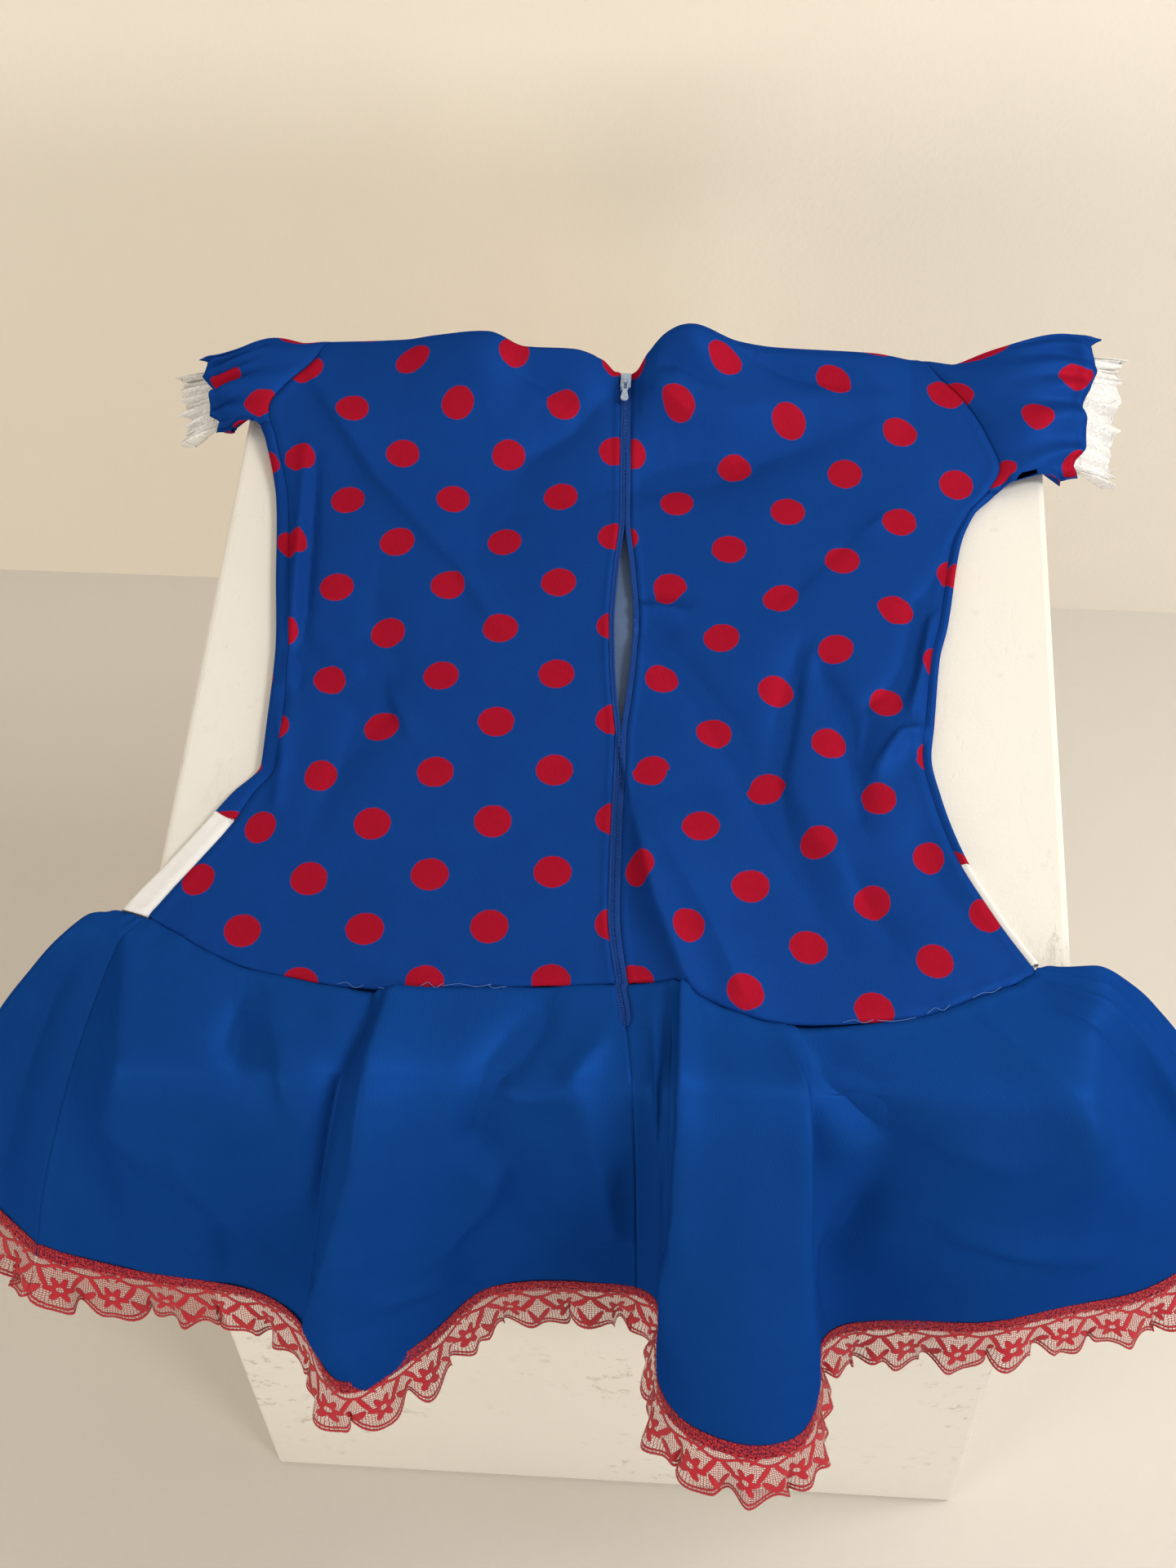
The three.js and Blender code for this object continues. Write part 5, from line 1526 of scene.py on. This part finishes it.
def galloon(surface, share_at, turns, outward, clear):
    """A lace surface of (u, q): q is 0 at the header and 1 at the scallops."""
    def on_hem(u, v):
        """Points of the flounce near its hem."""
        return surface(share_at(u, v), v)

    def at(u, q):
        """Points of the lace."""
        u, q = np.broadcast_arrays(u, q)
        v = 1 - LAP_SHARE * np.maximum(0, 1 - q / LAP)
        step = LOOK["step"]
        du = on_hem(np.minimum(u + step, 1), v) - on_hem(np.maximum(u - step, 0), v)
        dv = on_hem(u, np.minimum(v + step, 1)) - on_hem(u, v - step)
        normal = outward * unit(np.cross(du, dv))
        down = unit(on_hem(u, np.ones_like(v)) - on_hem(u, np.full_like(v, LOOK["above"])))
        beyond = np.maximum(0, (q - LAP) / (1 - LAP))
        off, sway, fan = lace_waves(2 * math.pi * turns(u), beyond)
        flare = GALLOON["flare"] * smooth(0.15 + 0.85 * beyond) * smooth((q - 0.3 * LAP) / (0.7 * LAP))
        stand = lerp(STAND["header"], STAND["scallops"], smooth(q * 2))
        hang = beyond * (GALLOON["width"] - GALLOON["overlap"])
        place = on_hem(u, v) + down * hang[..., None]
        place = place + normal * (stand + flare * off)[..., None]
        place = place - down * sway[..., None]
        place = place - unit(du) * fan[..., None]
        return keep_clear(place, np.full(place.shape[:-1], float(clear)))

    return at


# %% Galloon strips
LEFT_WAVES = round(BACK_HEM * CENTRE_SHARE / GALLOON["pitch"])
RIGHT_WAVES = round(BACK_HEM * (1 - CENTRE_SHARE) / GALLOON["pitch"])
FRONT_COLUMNS = even((0, 0.145, 12), (0.145, 0.3, 8), (0.3, 0.74, 16), (0.74, 0.9, 8), (0.9, 1, 8))
TAKE_UP = 1.12
RUN_ROW = 8


def front_turns(u):
    """Waves of the front lace so far, half of one to each column of its packed wall."""
    return np.interp(u, FRONT_COLUMNS, np.arange(len(FRONT_COLUMNS)) / 2)


lace_at = {
    "back_left": galloon(
        back_cloth, lambda u, v: back_share("left", u, v), lambda u: LEFT_WAVES * u, -1, 12
    ),
    "back_right": galloon(
        back_cloth, lambda u, v: back_share("right", u, v), lambda u: RIGHT_WAVES * u, -1, 12
    ),
    "front": galloon(front_surface, lambda u, v: u, front_turns, 1, 2.6),
}
LACE_ROWS = even((0, 0.3, 6), (0.3, 1, 14))
for name, count, nodes in (
    ("back_left", 420, ["lace_back_left"]),
    ("back_right", 620, ["lace_back_right"]),
    ("front", 700, ["lace_front_left", "lace_front", "lace_front_right"]),
):
    u = np.linspace(0, 1, count)[None, :]
    points = lace_at[name](u, LACE_ROWS[:, None])
    hem_run = lengths_across(points[RUN_ROW : RUN_ROW + 1]) * TAKE_UP
    uv = np.stack(np.broadcast_arrays(hem_run, LACE_ROWS[:, None] * GALLOON["width"]), -1) * MM
    strip = grid_object(f"lace_{name}_strip", points, uv, 1 if name == "front" else -1)
    add_thickness(strip, SHELL["lace"])
    finish_piece(strip, [red_lace], nodes)
    cut = surface_area(points) / GALLOON["width"] * MM
    hem_length = round(float(hem_run[0, -1]) / TAKE_UP)
    print("lace", name, "was cut", round(cut, 2), "m long for", hem_length, "mm of hem")


# %% [markdown]
# ## Sleeves and cuff frills
# Each sleeve is a short tube of dotted satin, flattened as it lies: it puffs out of the armhole
# and is gathered into its cuff. A strip of white gathered lace is sewn inside the cuff. Both
# close on themselves, so their last column joins their first.

# %% Cuffs
SLEEVES = {
    "left": {
        "low": (-268, 203, TOP - 9),
        "high": (-279, 252, TOP + 1),
        "half": 8,
        "puff": 10,
        "inset": 4.5,
        "drop": (-0.86, -0.06, -0.5),
        "out": 1,
        "bump": (0.36, 8, -2),
    },
    "right": {
        "low": (268, 184, TOP - 5),
        "high": (279, 276, TOP + 15),
        "half": 9,
        "puff": 10,
        "inset": 5.6,
        "drop": (0.9, 0.05, -0.42),
        "out": -1,
        "bump": (0.76, 8, -5),
    },
}
CUFF_WAVES = {"large": 11, "small": 23, "lobes": 7}
SLEEVE_REST = 10
FRILL = {"length": 26, "inside": 3, "wave": 4.5, "ruffles": 15, "shorter": 4, "shift": 0.021}


def gather(turn, count, sway, beats, shift=0.0):
    """An uneven wave round a tube: so many waves, pushed together and apart in so many beats."""
    return np.sin(2 * math.pi * count * turn + sway * np.sin(2 * math.pi * beats * turn) + shift)


def share_of_cuff(turn):
    """How far up the flattened loop a turn is: 0 at its lower end, 1 at its upper."""
    return (1 - np.cos(2 * math.pi * turn)) / 2


def cuff_frame(side):
    """A cuff's sizes, its two ends, the way the arm goes and the way up."""
    cuff = SLEEVES[side]
    low = np.array(cuff["low"], float)
    high = np.array(cuff["high"], float)
    along = unit(np.array(cuff["drop"], float))
    up = unit(np.cross(high - low, along))
    return cuff, low, high, along, up if up[2] > 0 else -up


def cuff_point(side, turn, inset, wave, scallop=0.0):
    """A point of the flattened cuff loop, drawn in and scalloped by its gathers."""
    cuff, low, high, along, up = cuff_frame(side)
    span = np.linalg.norm(high - low)
    share = lerp(inset / span, 1 - inset / span, share_of_cuff(turn))
    height = (cuff["half"] - inset) * np.sin(2 * math.pi * turn)
    small = 0.45 * gather(turn, CUFF_WAVES["small"], 1.2, 2)
    gathers = wave * (gather(turn, CUFF_WAVES["large"], 0.9, 3) + small)
    sign = np.where(np.sin(2 * math.pi * turn) >= 0, 1, -1)
    lift = (height + sign * gathers * 0.7)[..., None] * up
    out = np.abs(gathers) * 0.4 + scallop * gather(turn, CUFF_WAVES["lobes"], 0.8, 2)
    return low + share[..., None] * (high - low) + lift + out[..., None] * along


# %% Sleeve and frill surfaces
def sleeve_points(side, turn, b):
    """A sleeve round its turn, from the armhole where b is 0 to the cuff where it is 1."""
    turn, b = np.broadcast_arrays(turn, b)
    t = lerp(UNDERARM[side] - 0.5, SHOULDER, share_of_cuff(turn))
    over = upper_point(side_roll(side, t)[3], t)
    under = front_point(2 if side == "left" else 3, t)
    start = np.where((turn <= 0.5)[..., None], over, under)
    cuff, low, high, along, up = cuff_frame(side)
    start = start + np.array([np.sign(along[0]) * 0.5, 0, 0])
    end = cuff_point(side, turn, 0, 1.0 * b**2, 3.0 * b**3)
    point = lerp(start, end, b[..., None])
    swell = np.sin(2 * math.pi * turn)
    facing = np.sign(swell)
    fullness = cuff["puff"] * np.sin(math.pi * b) ** 0.8 * swell
    fullness = np.where(fullness > 0, fullness, fullness * 0.4)
    folds = 1.8 * gather(turn, 9, 1.4, 1, 1.1 * b) * np.sin(math.pi * b)
    pinched = smooth((b - 0.25) / 0.5) * (1 - 0.4 * smooth((b - 0.9) / 0.1))
    folds = folds + 2.3 * gather(turn, 15, 1.1, 3, 0.8 * b) * pinched
    folds = folds * facing * np.abs(swell) ** 0.4
    puffed = 9.0 * hump(turn - 0.5, 0.12) * smooth((b - 0.2) / 0.4)
    sunk = -4.5 * hump(turn - 0.46, 0.06) * hump(b - 0.25, 0.12)
    seam = -0.8 * hump(b, 0.035) * facing
    rolled = 2.2 * hump(b - 0.92, 0.05) * facing * np.abs(swell) ** 0.3
    point = point + (fullness + folds + seam + rolled + puffed + sunk)[..., None] * up
    place, rise, dent = cuff["bump"]
    bulge = rise * hump(b - place, 0.24) + dent * hump(b - 0.2, 0.14)
    point = point + (bulge * hump(turn - 0.5, 0.2))[..., None] * unit(high - low)
    return keep_clear(point, lerp(REST, SLEEVE_REST, smooth(b * 4)))


def frill_points(side, turn, q, layer):
    """One layer of cuff frill; q is 0 where it is sewn in and 1 at its free edge."""
    turn, q = np.broadcast_arrays(turn, q)
    cuff, low, high, along, up = cuff_frame(side)
    wave = lerp(0.8, FRILL["wave"], smooth(q * 1.2))
    shifted = turn + layer * FRILL["shift"]
    count = FRILL["ruffles"] + 4 * layer
    ruffle = gather(shifted, count, 1.3, 4) + 0.35 * gather(shifted, 31, 2, 3)
    point = cuff_point(side, turn, cuff["inset"] + 1.2 * layer, wave * 0.45)
    sign = np.where(np.sin(2 * math.pi * turn) >= 0, 1, -1)
    point = point + (sign * ruffle * wave * 0.7)[..., None] * up
    uneven = 2.4 * gather(turn, 11, 1.5, 3)
    length = FRILL["length"] - FRILL["shorter"] * layer + uneven
    point = point + lerp(-FRILL["inside"], length, q)[..., None] * along
    across = unit(high - low)
    fan = (share_of_cuff(turn) - 0.5) * 9 * q**1.5 + 1.3 * q * np.cos(2 * math.pi * count * shifted)
    return keep_clear(point + fan[..., None] * across, np.full(turn.shape, REST + 0.2))


def closed_lengths(points):
    """Running length round a grid that closes on itself, with its first column again."""
    return lengths_across(np.concatenate([points, points[:, :1]], 1))


# %% Sleeves
SLEEVE_TURNS = np.linspace(0, 1, 241)[None, :-1]
SLEEVE_ROWS = even((0, 0.1, 6), (0.1, 1, 40))[:, None]
SLEEVE_UV = {"round": 11, "down": 5}


def make_sleeve(side, printed):
    """One sleeve, with its dots running on from the back."""
    points = sleeve_points(side, SLEEVE_TURNS, SLEEVE_ROWS)
    run = closed_lengths(points)
    length = np.linalg.norm(points[-1] - points[0], axis=1).mean()
    down = SLEEVE_ROWS * length + SLEEVE_UV["down"]
    uv = np.stack(np.broadcast_arrays(run + SLEEVE_UV["round"], down), -1) * MM
    sleeve = grid_object(f"sleeve_{side}_cloth", points, uv, SLEEVES[side]["out"], wrap=True)
    add_thickness(sleeve, SHELL["satin"])
    finish_piece(sleeve, [printed], [f"sleeve_{side}"])


# %% Cuff frills
FRILL_TURNS = np.linspace(0, 1, 521)[None, :-1]
FRILL_ROWS = even((0, 1, 12))[:, None]
MIDDLE_ROW = 6
PATTERN_WIDTH = 27
FRILL_LAYERS = table(
    "layer name cut",
    (0, "frill_{}_strip", 0.031),
    (1, "frill_{}_inner_strip", 0.026),
)


def make_frills(side):
    """Both layers of one cuff's frill, which share one pattern."""
    outer_run = closed_lengths(frill_points(side, FRILL_TURNS, FRILL_ROWS, 0))[MIDDLE_ROW]
    uv = np.stack(np.broadcast_arrays(outer_run, FRILL_ROWS * PATTERN_WIDTH), -1) * MM
    for row in FRILL_LAYERS:
        points = frill_points(side, FRILL_TURNS, FRILL_ROWS, row["layer"])
        frill = grid_object(row["name"].format(side), points, uv, SLEEVES[side]["out"], wrap=True)
        add_thickness(frill, SHELL["frill"])
        nodes = [f"cuff_frill_{side}"] if row["layer"] == 0 else []
        finish_piece(frill, [white_lace], nodes)
        length = round(float(closed_lengths(points)[MIDDLE_ROW, -1]) * MM, 3)


for side, printed in (("left", dotted_left), ("right", dotted_right)):
    make_sleeve(side, printed)
    make_frills(side)

# %% [markdown]
# ## The zip
# A coil zip has two woven tapes, and a row of small teeth on each. One path runs down each
# tape; Geometry Nodes puts a tooth at every pitch along it. The same tree sets stitches along
# seams: only the path, the pitch and the small object change.

# %% Zip tapes
TAPE_SINK = 0.35


def tape_point(sign, beside, t):
    """A point on one tape: on the bodice, and below the hip seam on the flounce."""
    beside, t = np.broadcast_arrays(np.asarray(beside, float), np.asarray(t, float))
    above = upper_point(zip_x(t) + sign * (beside + zip_apart(t) / 2), t)
    v = SLIT_END * (CENTRE_HIP - t) / (CENTRE_HIP - ZIP_END)
    below = back_surface(CENTRE_SHARE + sign * beside / BACK_HEM, np.clip(v, 0, 1))
    points = np.where((t > CENTRE_HIP)[..., None], above, below)
    points[..., 2] -= TAPE_SINK
    return points


for side, sign in (("left", -1), ("right", 1)):
    t = np.linspace(ZIP_END, ZIP_TOP, 300)[:, None]
    beside = np.linspace(SEAM / 2, ZIP_HALF, 7)[None, :]
    if sign < 0:
        beside = beside[:, ::-1]
    points = tape_point(sign, beside, t)
    uv = np.stack(np.broadcast_arrays(beside, t), -1) * MM
    tape = add_thickness(grid_object(f"zip_tape_{side}_cloth", points, uv, 1), SHELL["tape"])
    finish_piece(tape, [tape_cloth], [f"zip_tape_{side}"])


# %% Small things set along paths
def make_along_tree():
    """Geometry Nodes: sets an object along a path, turned to the path and to its up direction."""
    tree = bpy.data.node_groups.new("Set along a path", "GeometryNodeTree")
    kinds = {"Geometry": "Geometry", "Item": "Object", "Pitch": "Float", "Material": "Material"}
    for label, kind in kinds.items():
        tree.interface.new_socket(label, in_out="INPUT", socket_type=f"NodeSocket{kind}")
    tree.interface.new_socket("Geometry", in_out="OUTPUT", socket_type="NodeSocketGeometry")
    nodes = tree.nodes
    link = tree.links.new
    given = nodes.new("NodeGroupInput")
    out = nodes.new("NodeGroupOutput")
    curve = nodes.new("GeometryNodeMeshToCurve")
    resample = nodes.new("GeometryNodeResampleCurve")
    resample.mode = "LENGTH"
    item = nodes.new("GeometryNodeObjectInfo")
    tangent = nodes.new("GeometryNodeInputTangent")
    up = nodes.new("GeometryNodeInputNamedAttribute")
    up.data_type = "FLOAT_VECTOR"
    up.inputs["Name"].default_value = "up"
    turn_up = nodes.new("FunctionNodeAlignRotationToVector")
    turn_up.axis = "Z"
    turn_along = nodes.new("FunctionNodeAlignRotationToVector")
    turn_along.axis = "Y"
    turn_along.pivot_axis = "Z"
    instances = nodes.new("GeometryNodeInstanceOnPoints")
    realize = nodes.new("GeometryNodeRealizeInstances")
    set_material = nodes.new("GeometryNodeSetMaterial")
    link(given.outputs["Geometry"], curve.inputs["Mesh"])
    link(curve.outputs["Curve"], resample.inputs["Curve"])
    link(given.outputs["Pitch"], resample.inputs["Length"])
    link(given.outputs["Item"], item.inputs["Object"])
    link(up.outputs["Attribute"], turn_up.inputs["Vector"])
    link(turn_up.outputs["Rotation"], turn_along.inputs["Rotation"])
    link(tangent.outputs["Tangent"], turn_along.inputs["Vector"])
    link(resample.outputs["Curve"], instances.inputs["Points"])
    link(item.outputs["Geometry"], instances.inputs["Instance"])
    link(turn_along.outputs["Rotation"], instances.inputs["Rotation"])
    link(instances.outputs["Instances"], realize.inputs["Geometry"])
    link(realize.outputs["Geometry"], set_material.inputs["Geometry"])
    link(given.outputs["Material"], set_material.inputs["Material"])
    link(set_material.outputs["Geometry"], out.inputs["Geometry"])
    return tree


along_tree = make_along_tree()


# %% A bead, and a row of beads
def pod(name, across, along, high, rounds=6, rings=4):
    """A small rounded bead, hidden itself, to set along paths."""
    points = []
    blunt = 0.02
    for j in range(rings + 1):
        tilt = math.pi * (blunt + (1 - 2 * blunt) * j / rings)
        for i in range(rounds):
            turn = 2 * math.pi * i / rounds
            points.append((
                across / 2 * math.sin(tilt) * math.cos(turn) * MM,
                -along / 2 * math.cos(tilt) * MM,
                high / 2 * math.sin(tilt) * math.sin(turn) * MM,
            ))
    faces = [tuple(range(rounds)), tuple(rings * rounds + i for i in reversed(range(rounds)))]
    for j in range(rings):
        for i in range(rounds):
            k = (i + 1) % rounds
            low, high_ring = j * rounds, (j + 1) * rounds
            faces.append((low + k, low + i, high_ring + i, high_ring + k))
    mesh = bpy.data.meshes.new(name)
    mesh.from_pydata(points, [], faces)
    mesh.shade_smooth()
    return bpy.data.objects.new(name, mesh)


def set_along(name, paths, ups, item, pitch, material):
    """A piece made of one small object repeated along paths, as one plain mesh."""
    points, edges, raised = [], [], []
    for path, up in zip(paths, ups):
        first = len(points)
        points += (path * MM).tolist()
        raised += np.broadcast_to(up, path.shape).tolist()
        edges += [(first + i, first + i + 1) for i in range(len(path) - 1)]
    mesh = bpy.data.meshes.new(name)
    mesh.from_pydata(points, edges, [])
    attribute = mesh.attributes.new("up", "FLOAT_VECTOR", "POINT")
    attribute.data.foreach_set("vector", np.array(raised, np.float32).ravel())
    obj = link_object(name, mesh)
    nodes = obj.modifiers.new("Set along", "NODES")
    nodes.node_group = along_tree
    sockets = {s.name: s.identifier for s in along_tree.interface.items_tree if s.in_out == "INPUT"}
    nodes[sockets["Item"]] = item
    nodes[sockets["Pitch"]] = pitch * MM
    nodes[sockets["Material"]] = material
    bpy.context.view_layer.update()
    made = bpy.data.meshes.new_from_object(obj.evaluated_get(bpy.context.evaluated_depsgraph_get()))
    obj.modifiers.clear()
    obj.data = made
    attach(obj, "root")
    print("made", name, len(made.polygons), "faces")
    return obj


# %% Zip teeth
tooth = pod("tooth", 2.0, 0.9, 0.9)
UP = np.array([0, 0, 1.0])
TOOTH_PITCH = 1.5
TEETH = {"foot": 3, "head": 9, "beside": 0.75, "proud": 0.55}
for side, sign, start in (("left", -1, 0.0), ("right", 1, 0.5)):
    first = ZIP_END + TEETH["foot"] + start * TOOTH_PITCH
    t = lerp(first, ZIP_TOP - TEETH["head"], np.linspace(0, 1, 400))
    path = tape_point(sign, TEETH["beside"], t)
    path[:, 2] += TEETH["proud"]
    set_along(f"zip_teeth_{side}", [path], [UP], tooth, TOOTH_PITCH, coil)

# %% [markdown]
# ## Stitches and loose threads
# Seen close, a costume is full of thread: two rows of stitches hold the lace, an overlocked
# edge shows where the dotted front meets the white, and a few pale ends have come loose at
# the hip seam.

# %% Stitches of the lace header
stitch = pod("stitch", 0.4, 1.5, 0.3)
STITCH_ROWS = (0.05, 0.19)
STITCH_PITCH = 4.1
for name, outward in (("back_left", -1), ("back_right", -1), ("front", 1)):
    u = np.linspace(0.004, 0.996, 900)
    paths, ups = [], []
    for q in STITCH_ROWS:
        flat = lace_at[name](u, np.full_like(u, q))
        below = lace_at[name](u, np.full_like(u, q + 0.01))
        up = outward * unit(np.cross(np.gradient(flat, axis=0), below - flat))
        paths.append(flat + up * SHELL["lace"])
        ups.append(up)
    set_along(f"lace_stitches_{name}", paths, ups, stitch, STITCH_PITCH, red_thread)

# %% Overlocked edge between the dotted and the white front
loops = pod("loop", 3.6, 0.5, 0.4)
LOOP_PITCH = 0.9
LOOP_LIFT = 0.45
LEFT_HIP = -228
station = np.linspace(0.0, 2.0, 120)
t = white_top(front_point(station, white_top(LEFT_HIP))[..., 0])
edge_left = front_point(station, t)
facing = -grid_normals(np.stack([edge_left, front_point(station, t + 1)]), 1)[0]
overlock = [edge_left + facing * LOOP_LIFT]
set_along("overlock_left", overlock, [facing], loops, LOOP_PITCH, white_thread)

# %% Loose threads at the hip seam
def strands(name, paths, radius, material):
    """Thin round threads through given points, closed at both ends."""
    sides = 5
    count = 14
    verts, faces = [], []
    for path in paths:
        path = np.array(path, float)
        fine = np.linspace(0, len(path) - 1, count)
        keys = np.arange(len(path))
        line = np.stack([np.interp(fine, keys, path[:, k]) for k in range(3)], 1)
        line[1:-1] = (line[:-2] + 2 * line[1:-1] + line[2:]) / 4
        tangent = unit(np.gradient(line, axis=0))
        one = unit(np.cross(tangent, np.array([0.1, 0.3, 1.0])))
        two = np.cross(tangent, one)
        first = len(verts)
        for middle, a, b in zip(line, one, two):
            for k in range(sides):
                turn = 2 * math.pi * k / sides
                place = middle + radius * (a * math.cos(turn) + b * math.sin(turn))
                verts.append((place * MM).tolist())
        for j in range(len(line) - 1):
            near, far = first + j * sides, first + (j + 1) * sides
            for k in range(sides):
                m = (k + 1) % sides
                faces.append((near + k, near + m, far + m, far + k))
        faces.append(tuple(first + k for k in reversed(range(sides))))
        faces.append(tuple(first + (len(line) - 1) * sides + k for k in range(sides)))
    mesh = bpy.data.meshes.new(name)
    mesh.from_pydata(verts, [], faces)
    mesh.shade_smooth()
    return finish_piece(link_object(name, mesh), [material])


def hip_thread(x, reach, rise):
    """One loose end lying over the hip seam near x."""
    shares = (0.0, 0.35, 0.7, 1.0)
    offsets = (0.5, 1.6 * rise, -1.2, 0.8 * rise)
    points = []
    for share, offset in zip(shares, offsets):
        across = x + reach * share
        on_seam = upper_point(across, float(hip_back(across)) + max(offset, 0.3))
        points.append(on_seam + np.array([0, min(offset, 0.0), SHELL["satin"]]))
    return points


HIP_THREADS = table(
    "x reach rise",
    (-140, 14, 1.6),
    (-118, 22, -1.0),
    (-96, 12, 2.2),
    (-84, 26, 1.1),
    (-60, 10, -1.4),
    (128, 16, 1.3),
    (146, 20, -0.8),
    (172, 12, 1.9),
    (196, 15, 1.0),
)
THREAD_RADIUS = 0.18
loose_ends = [hip_thread(**row) for row in HIP_THREADS]
strands("hip_threads", loose_ends, THREAD_RADIUS, blue_thread)

# %% Zip metal and plinth keep their packed form
for node, material, slot in (
    ("zip_slider", zip_metal, "zip_metal"),
    ("zip_pull", zip_metal, "zip_metal"),
    ("plinth", board_paint, "painted_board"),
):
    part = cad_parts[node]
    part.data.materials.clear()
    part.data.materials.append(material)
print("finished the hard parts")

# %% [markdown]
# ## The room, the light and the camera
# The plinth stands on a pale floor before a warm white wall. Folds show by shade, so the two
# stronger soft lights stand on the right, one above and one in front, and a warm one fills in
# from the left. The room itself glows a little, more from above. The wall is seen from its
# front alone, so that views from behind stay open. The camera's place was worked out from
# the plinth's edges.

# %% Room
def stage_plane(name, corners, material):
    """A flat part of the room, attached to no body of the model."""
    mesh = bpy.data.meshes.new(name)
    mesh.from_pydata(corners, [], [(0, 1, 2, 3)])
    mesh.materials.append(material)
    link_object(name, mesh)


def room_paint(name, one, other, scale, one_sided):
    """Matt paint with slow unevenness; a wall may be clear from behind."""
    material, tree, shader = new_material(name, 0.85)
    place = place_of(tree)
    colour = mix_colour(tree, noise(tree, place, scale, 5.0), one, other)
    tree.links.new(colour, shader.inputs["Base Color"])
    add_bump(tree, shader, noise(tree, place, 180.0, 3.0), 0.0006, 0.4)
    if one_sided:
        geometry = tree.nodes.new("ShaderNodeNewGeometry")
        clear = tree.nodes.new("ShaderNodeBsdfTransparent")
        mixed = tree.nodes.new("ShaderNodeMixShader")
        tree.links.new(geometry.outputs["Backfacing"], mixed.inputs[0])
        tree.links.new(shader.outputs[0], mixed.inputs[1])
        tree.links.new(clear.outputs[0], mixed.inputs[2])
        tree.links.new(mixed.outputs[0], tree.nodes["Material Output"].inputs["Surface"])
    return material


wall_paint = room_paint("Wall paint", srgb(238, 230, 216), srgb(245, 238, 226), 1.5, True)
floor_paint = room_paint("Floor", srgb(208, 202, 192), srgb(217, 211, 202), 2.2, False)
BACK = 0.6
WIDE = 3
HIGH = 2.6
floor = [(-WIDE, -WIDE, 0), (WIDE, -WIDE, 0), (WIDE, WIDE, 0), (-WIDE, WIDE, 0)]
wall = [(-WIDE, BACK, 0), (WIDE, BACK, 0), (WIDE, BACK, HIGH), (-WIDE, BACK, HIGH)]
stage_plane("floor", floor, floor_paint)
stage_plane("wall", wall, wall_paint)
print("the wall stands", BACK, "m behind the plinth's middle")

# %% Lights
def soft_light(name, place, aim, size, power, colour):
    """A soft lamp with a right-angled face, turned to what it lights."""
    data = bpy.data.lights.new(name, "AREA")
    data.shape = "RECTANGLE"
    data.size, data.size_y = size
    data.energy = power
    data.color = colour
    lamp = bpy.data.objects.new(name, data)
    bpy.context.collection.objects.link(lamp)
    lamp.location = place
    lamp.rotation_euler = (Vector(aim) - Vector(place)).to_track_quat("-Z", "Y").to_euler()
    print("light", name, power, "W")


soft_light("key", (1.5, -0.05, 2.2), (0, 0.25, 0.62), (0.6, 0.6), 25, (1.0, 0.98, 0.96))
soft_light("front", (1.9, -1.9, 1.3), (0.0, -0.1, 0.45), (0.8, 0.8), 28, (1.0, 0.98, 0.95))
soft_light("warm side", (-1.8, -1.8, 1.2), (-0.2, 0.1, 0.45), (1.2, 1.0), 27, (1.0, 0.89, 0.74))

# %% The glow of the room
world = bpy.data.worlds.new("room light")
world.use_nodes = True
sky = world.node_tree
background = sky.nodes["Background"]
background.inputs["Color"].default_value = (0.95, 0.94, 0.92, 1)
direction = sky.nodes.new("ShaderNodeTexCoord")
split = sky.nodes.new("ShaderNodeSeparateXYZ")
sky.links.new(direction.outputs["Generated"], split.inputs[0])
ceiling = remap(sky, split.outputs["Z"], -0.1, 0.8, 0.18, 0.5)
sky.links.new(ceiling, background.inputs["Strength"])
bpy.context.scene.world = world
bpy.context.scene.view_settings.view_transform = "Standard"

# %% Camera
# Its three directions as the photograph's edges of the plinth give them
right = Vector((0.99755817, 0.06599491, -0.02285533))
up = Vector((-0.04122641, 0.82058158, 0.57004057))
forward = Vector((-0.05637444, 0.56770639, -0.82129859))
camera_data = bpy.data.cameras.new("camera")
camera_data.lens = 54.57
camera_data.sensor_width = 36
camera = bpy.data.objects.new("camera", camera_data)
bpy.context.collection.objects.link(camera)
turned = Matrix((right, up, -forward)).transposed().to_4x4()
turned.translation = Vector((0.0599, -0.8270, 1.7433))
camera.matrix_world = turned
bpy.context.scene.camera = camera
print("camera at", list(turned.translation), "with a lens of", camera_data.lens, "mm")
